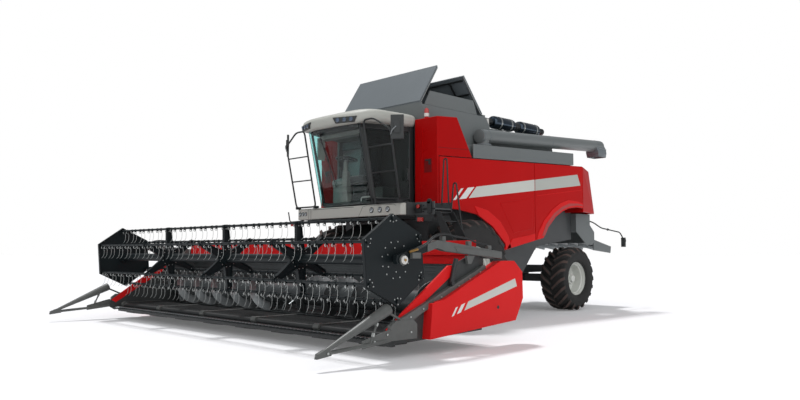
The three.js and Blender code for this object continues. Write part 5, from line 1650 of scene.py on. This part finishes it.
def make_unloader():
    """The unloading auger: its tube, clamp bands and the open spout at its far end."""
    body = "auger_body"
    along = (AUGER_FAR - AUGER_NEAR).normalized()
    length = (AUGER_FAR - AUGER_NEAR).length
    bm = bmesh.new()
    profile = [
        (0.0, -0.118), (0.1, -0.118), (0.119, -0.11), (0.12, 0.05), (0.12, length - 0.22),
        (0.114, length - 0.18), (0.1, length - 0.162), (0.0, length - 0.16),
    ]
    turned(bm, profile, AUGER_NEAR, along, steps=44)
    rod(bm, AUGER_NEAR - Z * 0.16, AUGER_NEAR, 0.1, sides=40)
    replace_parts(piece("unloading_tube", bm, grey_enamel, body), "unloading_auger")
    bm = bmesh.new()
    for place_along, width, radius in (
        (-0.08, 0.012, 0.124), (0.07, 0.012, 0.124), (2.0, 0.02, 0.1225), (3.7, 0.012, 0.1225),
    ):
        a = AUGER_NEAR + along * place_along
        rod(bm, a, a + along * width, radius, sides=44)
    rod(bm, AUGER_NEAR - Z * 0.16, AUGER_NEAR - Z * 0.14, 0.14, sides=40)
    piece("unloading_bands", bm, slate_enamel, body, 2)
    bm = bmesh.new()
    rings = []
    for z, y0, y1, half in (
        (3.36, 4.41, 4.75, 0.1), (3.28, 4.4, 4.77, 0.13), (3.2, 4.43, 4.755, 0.145),
        (3.1135, 4.45, 4.74, 0.135),
    ):
        ring = bmesh.ops.create_circle(bm, segments=4, radius=1)["verts"]
        for vert, (x, y) in zip(ring, ((half, y0), (half, y1), (-half, y1), (-half, y0))):
            vert.co = at(1.25 + x, y, z)
        rings.append(ring)
    bmesh.ops.bridge_loops(bm, edges=bm.edges[:])
    bmesh.ops.contextual_create(bm, geom=rings[0])
    spout = piece("unloading_spout", bm, slate_enamel, body)
    wall = spout.modifiers.new("wall", "SOLIDIFY")
    wall.thickness = 0.006
    wall.offset = -1
    bm = bmesh.new()
    block(bm, at(1.12, 4.49, 3.285), at(1.385, 4.77, 3.297))
    piece("unloading_spout_lip", bm, bright_strap, body, 1)


def make_deck():
    """Cooling grille, side seams and corner lamps of the engine deck."""
    bm = bmesh.new()
    for k in range(24):
        y = 1.55 + 0.065 * k
        block(bm, at(-0.9, y, 3.365), at(0.35, y + 0.03, 3.378))
    slabs(bm, (-0.95, 1.5, 3.362, 0.4, 1.53, 3.38), (-0.95, 3.1, 3.362, 0.4, 3.13, 3.38))
    piece("deck_grille", bm, black_enamel, bevel_mm=2)
    for name, sign in (("left", 1), ("right", -1)):
        bm = bmesh.new()
        side_plate(bm, [(0.3, 2.765), (3.34, 2.905), (3.34, 2.9), (0.3, 2.76)], 1.444, 1.4475)
        piece(f"deck_seam_{name}", place(bm, sign), slate_enamel)
        bm = bmesh.new()
        rail = [at(0.94, 1.35, 3.36), at(0.94, 1.35, 3.5)]
        tube(bm, rail, 0.012, sides=8)
        lamp = at(0.93, 1.3, 3.5)
        block(bm, lamp - Vector((0.04, 0.03, 0.05)), lamp + Vector((0.04, 0.03, 0.05)))
        piece(f"deck_lamp_{name}", place(bm, sign), white_lens, bevel_mm=8)


for end in ("front", "rear"):
    make_flap_trim(end)
make_exhaust()
make_unloader()
make_deck()

# ---------------------------------------------------------------- platform, ladder and rails


LADDER_X = 1.7703


def make_ladder():
    """The boarding ladder: two cheeks and five toothed steps."""
    body = "ladder_body"
    bm = bmesh.new()
    outline = [(-0.01, 1.73), (0.07, 1.75), (0.33, 1.33), (0.4, 0.48), (0.33, 0.48), (0.12, 1.38)]
    for y0, y1 in ((-0.985, -0.97), (-0.68, -0.665)):
        plate(bm, [at(LADDER_X + dx, y0, z) for dx, z in outline], Y * (y1 - y0))
    rod(bm, at(LADDER_X, -0.99, 1.73), at(LADDER_X, -0.66, 1.73), 0.018, sides=14)
    for z, dx, width in (
        (0.56, 0.345, 0.05), (0.83, 0.29, 0.07), (1.1, 0.23, 0.09), (1.37, 0.16, 0.11), (1.6, 0.06, 0.08),
    ):
        block(
            bm, at(LADDER_X + dx - 0.01, -0.97, z - 0.012),
            at(LADDER_X + dx + width + 0.01, -0.68, z + 0.004),
        )
        for k in range(8):
            y = -0.955 + 0.037 * k
            block(bm, at(LADDER_X + dx, y, z + 0.004), at(LADDER_X + dx + width, y + 0.012, z + 0.012))
    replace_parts(piece("ladder_steps", bm, black_enamel, body, 2), "ladder")


WALK_HALF, WALK_FRONT, WALK_REAR = 1.33, -1.168, -0.362
SKIRT_LOW, WALK_LOW, WALK_TOP, SKIRT_TOP = 1.7, 1.776, 1.8, 1.898


def make_platform():
    """Chequer-plate walk with toe boards, the landing by the ladder and its gate plate."""
    bm = bmesh.new()
    slabs(
        bm,
        (-WALK_HALF, WALK_FRONT, WALK_LOW, WALK_HALF, -0.365, WALK_TOP),
        (-WALK_HALF, WALK_FRONT, SKIRT_LOW, WALK_HALF, -1.15, SKIRT_TOP),
        (-WALK_HALF, -0.38, SKIRT_LOW, WALK_HALF, WALK_REAR, SKIRT_TOP),
        (-WALK_HALF, WALK_FRONT, SKIRT_LOW, -1.312, WALK_REAR, SKIRT_TOP),
        (1.312, -0.6, SKIRT_LOW, WALK_HALF, WALK_REAR, SKIRT_TOP),
        (1.312, -1.0, WALK_LOW, 1.75, -0.6, WALK_TOP), (1.312, -1.0, SKIRT_LOW, 1.75, -0.985, SKIRT_TOP),
        (1.312, -0.615, SKIRT_LOW, 1.75, -0.6, SKIRT_TOP),
        (1.312, WALK_FRONT, SKIRT_LOW, WALK_HALF, -0.985, SKIRT_TOP),
        (-0.6, -1.15, WALK_TOP, 0.6, -0.56, SKIRT_TOP),
    )
    for x in (-1.0, -0.5, 0.5, 1.0):
        block(bm, at(x - 0.03, -1.14, 1.702), at(x + 0.03, -0.39, WALK_LOW))
    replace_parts(piece("platform_walk", bm, iron_grey, bevel_mm=3), "platform")
    bm = bmesh.new()
    for i in range(17):
        for k in range(8):
            x, y = 0.66 + 0.062 * i, -0.96 + 0.046 * k
            block(bm, at(x - 0.016, y - 0.004, WALK_TOP), at(x + 0.016, y + 0.004, 1.803))
    piece("platform_chequer", bm, iron_grey)


def make_platform_trim():
    """Brackets, marker lamps and hand rails of the platform."""
    bm = bmesh.new()
    for x in (-1.0, -0.5, 0.0, 0.5, 1.0):
        block(bm, at(x - 0.02, -1.165, 1.66), at(x + 0.02, -0.4, 1.702))
    block(bm, at(1.36, -1.02, 1.74), at(1.5, -1.004, 1.86))
    rod(bm, at(1.66, -1.0, 1.9), at(1.66, -1.03, 1.9), 0.04, sides=20)
    slabs(bm, (1.62, -1.03, 1.72, 1.7, -1.0, 1.9), (1.4, -1.04, 1.6, 1.72, -0.98, 1.702))
    bent_tube(
        bm, ((1.54, -1.01, 1.84), (1.54, -1.04, 1.84), (1.54, -1.04, 1.75), (1.54, -1.01, 1.75)), 0.02,
        0.008,
    )
    piece("platform_brackets", bm, black_enamel, bevel_mm=4)
    bm = bmesh.new()
    block(bm, at(1.46, -1.07, 1.6), at(1.56, -1.035, 1.66))
    rod(bm, at(1.45, -1.03, 1.83), at(1.45, -1.052, 1.83), 0.03, sides=20)
    block(bm, at(-1.56, -1.2, 1.6), at(-1.48, -1.16, 1.66))
    piece("marker_lamps", bm, red_lens, bevel_mm=4)
    bm = bmesh.new()
    bent_tube(
        bm, ((-1.28, -1.1, 1.71), (-1.28, -1.14, 1.69), (-1.66, -1.14, 1.68), (-1.68, -1.16, 1.86)), 0.05,
        0.011, 8,
    )
    tube(bm, [at(-1.52, -1.14, 1.68), at(-1.52, -1.16, 1.64)], 0.01, sides=8)
    piece("platform_rail_right", bm, black_enamel)
    bm = bmesh.new()
    bent_tube(
        bm, ((1.56, -0.625, 1.87), (1.61, -0.625, 2.58), (1.67, -0.625, 2.58), (1.705, -0.625, 1.87)),
        0.034, 0.0125,
    )
    bent_tube(
        bm, ((1.74, -0.615, 1.72), (1.795, -0.615, 2.19), (1.85, -0.615, 2.19), (1.96, -0.615, 1.466)),
        0.03, 0.0125,
    )
    piece("boarding_rails", bm, black_enamel)


make_platform()
make_ladder()
make_platform_trim()

# ---------------------------------------------------------------- rear


LAMP_ARM_X = 1.4
LAMP_FACE = 5.419


def make_rear():
    """The light bar with its bent arms and lamps, the hood's louvres and the chopper's vanes."""
    bm = bmesh.new()
    route = [
        at(1.085, 4.51, 1.79), at(1.19, 4.52, 1.755), at(1.3, 4.64, 1.64), at(LAMP_ARM_X, 5.24, 1.56),
        at(LAMP_ARM_X, 5.39, 1.42),
    ]
    for sign in (1, -1):
        path = [Vector((sign * p.x, p.y, p.z)) for p in route]
        tube(bm, rounded(path, 0.06), 0.0135, sides=10)
        knuckle = path[2].lerp(path[3], 0.35)
        ball(bm, knuckle, 0.026)
        slabs(
            bm,
            (sign * LAMP_ARM_X - 0.045, 5.368, 1.25, sign * LAMP_ARM_X + 0.045, 5.412, 1.45),
            (sign * LAMP_ARM_X + 0.03, 5.38, 1.36, sign * LAMP_ARM_X + 0.058, 5.4, 1.41),
        )
    block(bm, at(-1.1, 4.475, 1.755), at(1.1, 4.505, 1.825))
    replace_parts(piece("light_bar_tubes", bm, cast_iron, bevel_mm=3), "rear_light_bar")
    bm = bmesh.new()
    for sign in (1, -1):
        for z in (1.27, 1.33):
            block(
                bm, at(sign * LAMP_ARM_X - 0.036, 5.41, z),
                at(sign * LAMP_ARM_X + 0.036, LAMP_FACE, z + 0.05),
            )
        block(bm, at(sign * 1.05 - 0.06, 4.32, 2.5), at(sign * 1.05 + 0.06, 4.37, 2.53))
    piece("rear_lamps_red", bm, red_lens, bevel_mm=3)
    bm = bmesh.new()
    for sign in (1, -1):
        block(bm, at(sign * LAMP_ARM_X - 0.036, 5.41, 1.39), at(sign * LAMP_ARM_X + 0.036, LAMP_FACE, 1.44))
    piece("rear_lamps_amber", bm, amber_lens, bevel_mm=3)
    # Louvres of the hood.
    bm = bmesh.new()
    for k in range(7):
        z = 2.14 + 0.07 * k
        y = 4.55 - 0.2 * (z - 1.93) / 0.91
        block(bm, at(-0.7, y - 0.02, z), at(0.7, y + 0.006, z + 0.028))
    # The louvres take the darker red: painted shade between them.
    piece("hood_louvres", bm, shaded_red, bevel_mm=3)
    # Deflector vanes under the chopper.
    bm = bmesh.new()
    for k in range(9):
        x = -1.0 + 0.25 * k
        side_plate(bm, [(4.63, 1.335), (5.24, 1.238), (5.22, 1.19), (4.64, 1.27)], x, x + 0.012)
    piece("chopper_vanes", bm, galvanised, bevel_mm=1)


make_rear()

# ---------------------------------------------------------------- underside


def make_cylinders(name, sign):
    """The header's lift cylinder: barrel on the chassis, rod on the feeder."""
    low, high = at(0.42, -0.2, 0.72), at(0.42, -1.35, 0.6)
    bm = bmesh.new()
    middle_point = low.lerp(high, 0.55)
    rod(bm, low, middle_point, 0.05, sides=20)
    rod(bm, low - X * 0.06, low + X * 0.06, 0.035, sides=16)
    piece(f"lift_cylinder_{name}", place(bm, sign), black_enamel, bevel_mm=3)
    bm = bmesh.new()
    rod(bm, low.lerp(high, 0.4), high, 0.03, sides=18)
    rod(bm, high - X * 0.05, high + X * 0.05, 0.04, sides=16)
    piece(f"lift_rod_{name}", place(bm, sign), piston_chrome, "header_lift_body")


on_both_sides(make_cylinders)

# ---------------------------------------------------------------- floor and light


def seen_by(tree, *rays):
    """One where the ray is of any of the named kinds."""
    path = add(tree, "LightPath")
    seen = path.outputs[rays[0]]
    for ray in rays[1:]:
        seen = add(tree, "Math", {"operation": "MAXIMUM"}, {0: seen, 1: path.outputs[ray]}).outputs["Value"]
    return seen


def place_floor():
    """A pale floor that reads as white to the camera, but still takes the machine's shadow."""
    material, tree = new_finish("floor_pale_paint")
    seen = seen_by(tree, "Is Camera Ray", "Is Glossy Ray", "Is Transmission Ray")
    paint = add(tree, "BsdfDiffuse", {"Color": linear("#E6E6E8")})
    lift = add(tree, "Emission", {"Color": linear("#FFFFFF"), "Strength": 0.12})
    both = add(tree, "AddShader", {}, {0: paint.outputs["BSDF"], 1: lift.outputs["Emission"]})
    mix = add(tree, "MixShader", {}, {0: seen, 1: paint.outputs["BSDF"], 2: both.outputs["Shader"]})
    add(tree, "OutputMaterial", {}, {"Surface": mix.outputs["Shader"]})
    bm = bmesh.new()
    bmesh.ops.create_grid(bm, x_segments=1, y_segments=1, size=400)
    shape = bpy.data.meshes.new("floor")
    bm.to_mesh(shape)
    bm.free()
    shape.materials.append(material)
    floor = bpy.data.objects.new("floor", shape)
    floor.location.z = -0.002
    bpy.context.scene.collection.objects.link(floor)


def soft_sun(name, towards, width, power):
    """An even light from far off, as wide as a big cloth frame seen from the machine."""
    lamp = bpy.data.lights.new(name, "SUN")
    lamp.energy = power
    lamp.angle = math.radians(width)
    stand = bpy.data.objects.new(name, lamp)
    stand.rotation_euler = Vector(towards).to_track_quat("Z", "Y").to_euler()
    bpy.context.scene.collection.objects.link(stand)


def light_scene():
    """Pale surroundings, one main sun from above and two wide fills."""
    world = bpy.data.worlds.new("studio")
    bpy.context.scene.world = world
    world.use_nodes = True
    tree = world.node_tree
    tree.nodes.clear()
    seen = seen_by(tree, "Is Camera Ray", "Is Transmission Ray")
    soft = add(tree, "Background", {"Color": linear("#F4F6FA"), "Strength": 0.38})
    white = add(tree, "Background", {"Color": linear("#FFFFFF"), "Strength": 1.0})
    mix = add(
        tree, "MixShader", {}, {0: seen, 1: soft.outputs["Background"], 2: white.outputs["Background"]},
    )
    add(tree, "OutputWorld", {}, {"Surface": mix.outputs["Shader"]})
    soft_sun("overhead", (-0.42, 0.12, 1), 7, 2.1)
    soft_sun("side_fill", (1, -0.3, 0.55), 70, 0.95)
    soft_sun("front_fill", (0.1, -1, 0.5), 70, 0.55)
    bpy.context.scene.view_settings.view_transform = "Standard"


place_floor()
light_scene()
place_camera()
